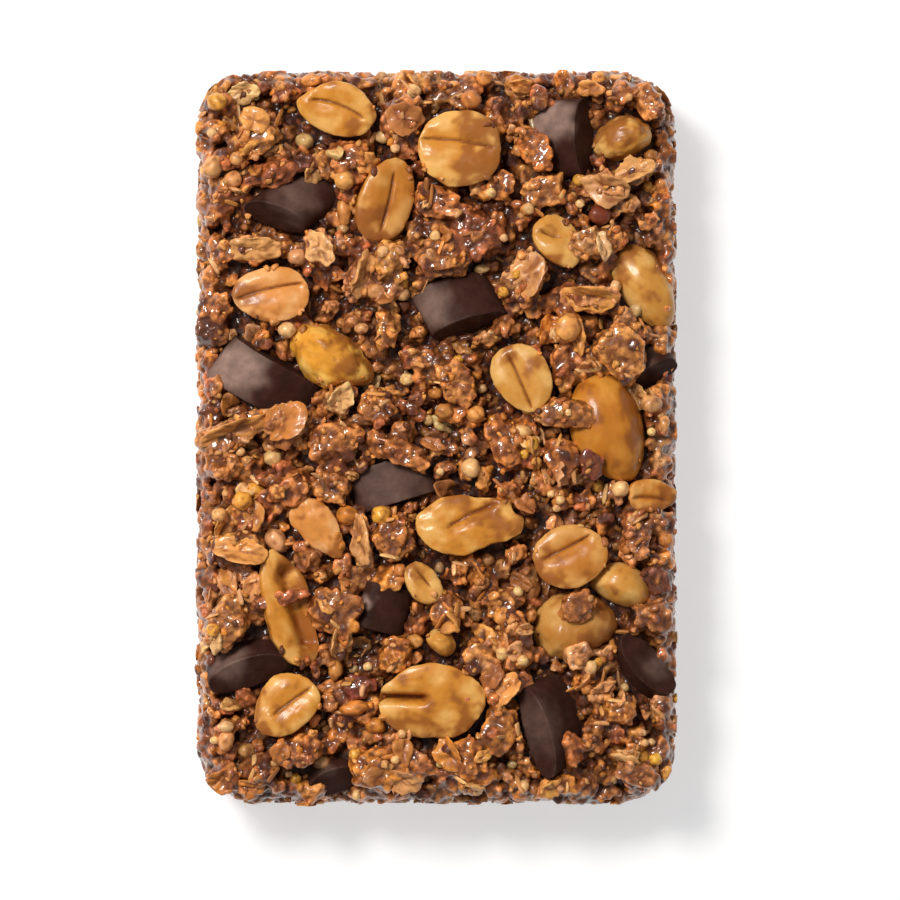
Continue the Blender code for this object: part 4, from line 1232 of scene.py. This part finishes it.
def makeFlakes(surface, material):
    draw = random.Random(loose["seed"] + 1)
    heap = Heap()
    for x, y, length, width, turn, roll, lift, rise, tone in flakePlaces:
        spot, _ = surface.below(x, y)
        if spot is None:
            continue
        height = max(spot.z / mm, mass["height"] - shoulderDrop(x, y)) + 0.6 * rise - 0.15
        shape, patches = shapeFlake(length, width, draw, 46, 17)
        place = placement(x * mm, y * mm, height * mm, turn, roll, lift)
        heap.add(shape, place, patchy(tone, patches, draw))
    for spot, normal in restingSpots(surface, draw, topFirst("randomFlakes", "wallFlakes"), 0.6):
        length = draw.uniform(*loose["flakeSize"])
        shape, patches = shapeFlake(length, length * draw.uniform(0.55, 0.85), draw)
        tone = draw.choice(("tan", "tan", "golden", "golden", "pale", "peach", "amber", "brown"))
        heap.add(shape, against(spot, normal, 0.15, draw, 0.5), patchy(tone, patches, draw))
    addLoose(heap, "oatFlakes", material)


crumbTones = (
    "tan", "golden", "golden", "amber", "amber", "orange", "brown", "redBrown", "redBrown", "dark",
)


def makeCrumbs(surface, material):
    draw = random.Random(loose["seed"] + 2)
    heap = Heap()
    for spot, normal in restingSpots(surface, draw, topFirst("crumbs", "wallCrumbs"), -0.5):
        size = draw.uniform(*loose["crumbSize"])
        lump = (size * mm, size * draw.uniform(0.5, 0.9) * mm, size * draw.uniform(0.4, 0.8) * mm)
        shape = shapeLump(lump, 2, 0.6, draw, 0.75)
        tone = draw.choice(crumbTones)
        heap.add(shape, against(spot, normal, 0.06 * size, draw, 0.6), varied(tone, draw))
    addLoose(heap, "toastedCrumbs", material)


def makeShards(surface, material):
    draw = random.Random(loose["seed"] + 3)
    heap = Heap()
    onTop = [number % 4 > 0 for number in range(loose["shards"])]  # one in four is on a wall
    for spot, normal in restingSpots(surface, draw, onTop, 0.3):
        length = draw.uniform(*loose["shardSize"])
        sliver = (length * mm, draw.uniform(0.35, 0.7) * mm, draw.uniform(0.2, 0.4) * mm)
        shape = shapeLump(sliver, 2, 0.4, draw, 0.6)
        tone = draw.choice(("tan", "golden", "pale", "amber", "brown", "peach"))
        heap.add(shape, against(spot, normal, 0.1, draw, 0.7), varied(tone, draw))
    addLoose(heap, "branShards", material)


# The room: floor, light and camera
room = {
    "floorColour": (0.55, 0.55, 0.55, 1),
    "floorGlow": 0.54,  # keeps the shadow pale
    "skyColour": (0.95, 0.975, 1, 1),
    "skyStrength": 0.22,
    # name, place, size, power, colour, and whether the glaze mirrors it
    "lights": (
        ("keyLight", (-0.30, 0.29, 0.56), 0.42, 2.3, (1, 0.985, 0.96), False),
        ("glintLight", (-0.26, 0.27, 0.62), 0.17, 3.0, (1, 0.98, 0.96), True),
        ("fillLight", (0.3, -0.15, 0.65), 0.4, 0.25, (1, 1, 1), False),
    ),
    "lens": 250,
    "cameraPlace": (1.68, -1.5, 765.5),
}


def areaLight(name, place, size, power, colour, mirrored):
    light = bpy.data.lights.new(name, "AREA")
    light.shape = "DISK"
    light.size = size
    light.energy = power
    light.color = colour
    lamp = bpy.data.objects.new(name, light)
    lamp.location = place
    lamp.visible_glossy = mirrored
    lamp.rotation_euler = (Vector((0, 0, 0.01)) - Vector(place)).to_track_quat("-Z", "Y").to_euler()
    bpy.context.scene.collection.objects.link(lamp)


def makeRoom():
    shape = bmesh.new()
    bmesh.ops.create_grid(shape, x_segments=1, y_segments=1, size=1.5)
    floorMesh = meshFrom(shape, "floor")
    sockets = {
        "Roughness": 0.85,
        "Base Color": room["floorColour"],
        "Specular IOR Level": 0.1,
        "Emission Color": (1, 1, 1, 1),
        "Emission Strength": room["floorGlow"],
    }
    material, _, _ = startMaterial("paleFloor", sockets)
    floorMesh.materials.append(material)
    floor = bpy.data.objects.new("floor", floorMesh)
    bpy.context.scene.collection.objects.link(floor)
    world = bpy.data.worlds.new("softRoom")
    world.use_nodes = True
    sky = world.node_tree.nodes["Background"]
    sky.inputs["Color"].default_value = room["skyColour"]
    sky.inputs["Strength"].default_value = room["skyStrength"]
    bpy.context.scene.world = world
    for light in room["lights"]:
        areaLight(*light)
    bpy.context.scene.view_settings.view_transform = "Standard"


def makeCamera():
    camera = bpy.data.cameras.new("camera")
    camera.lens = room["lens"]
    camera.sensor_width = 36
    camera.clip_start = 0.01
    eye = bpy.data.objects.new("camera", camera)
    eye.location = Vector(room["cameraPlace"]) * mm
    bpy.context.scene.collection.objects.link(eye)
    bpy.context.scene.camera = eye


massMesh = makeMassMesh()
granolaMaterial = glazedGranola()
blockLength = (mass["length"] + 2 * mass["wallStand"]) / mass["blocks"]
for block in range(mass["blocks"]):
    low = None if block == 0 else (block - mass["blocks"] / 2) * blockLength * mm
    high = None if block == mass["blocks"] - 1 else (block + 1 - mass["blocks"] / 2) * blockLength * mm
    blockMesh = splitBlock(massMesh, low, high, f"granolaBlock{block + 1}")
    piece = addPiece(f"granolaBlock{block + 1}", blockMesh, granolaMaterial, "granola", "granola_mass")
    print(piece.name, sum(len(p.vertices) - 2 for p in blockMesh.polygons), "triangles")
peanuts = makePeanuts(roastedPeanut())
makeChunks(darkChocolate())
surface = Surface(massMesh)
grainMaterial = toastedGrain()
makeBeads(surface, grainMaterial)
makeFlakes(surface, grainMaterial)
makeShards(surface, grainMaterial)
makeCrumbs(Surface(massMesh, *peanuts), grainMaterial)
bpy.data.meshes.remove(massMesh)
print("loose pieces made")
makeRoom()
makeCamera()
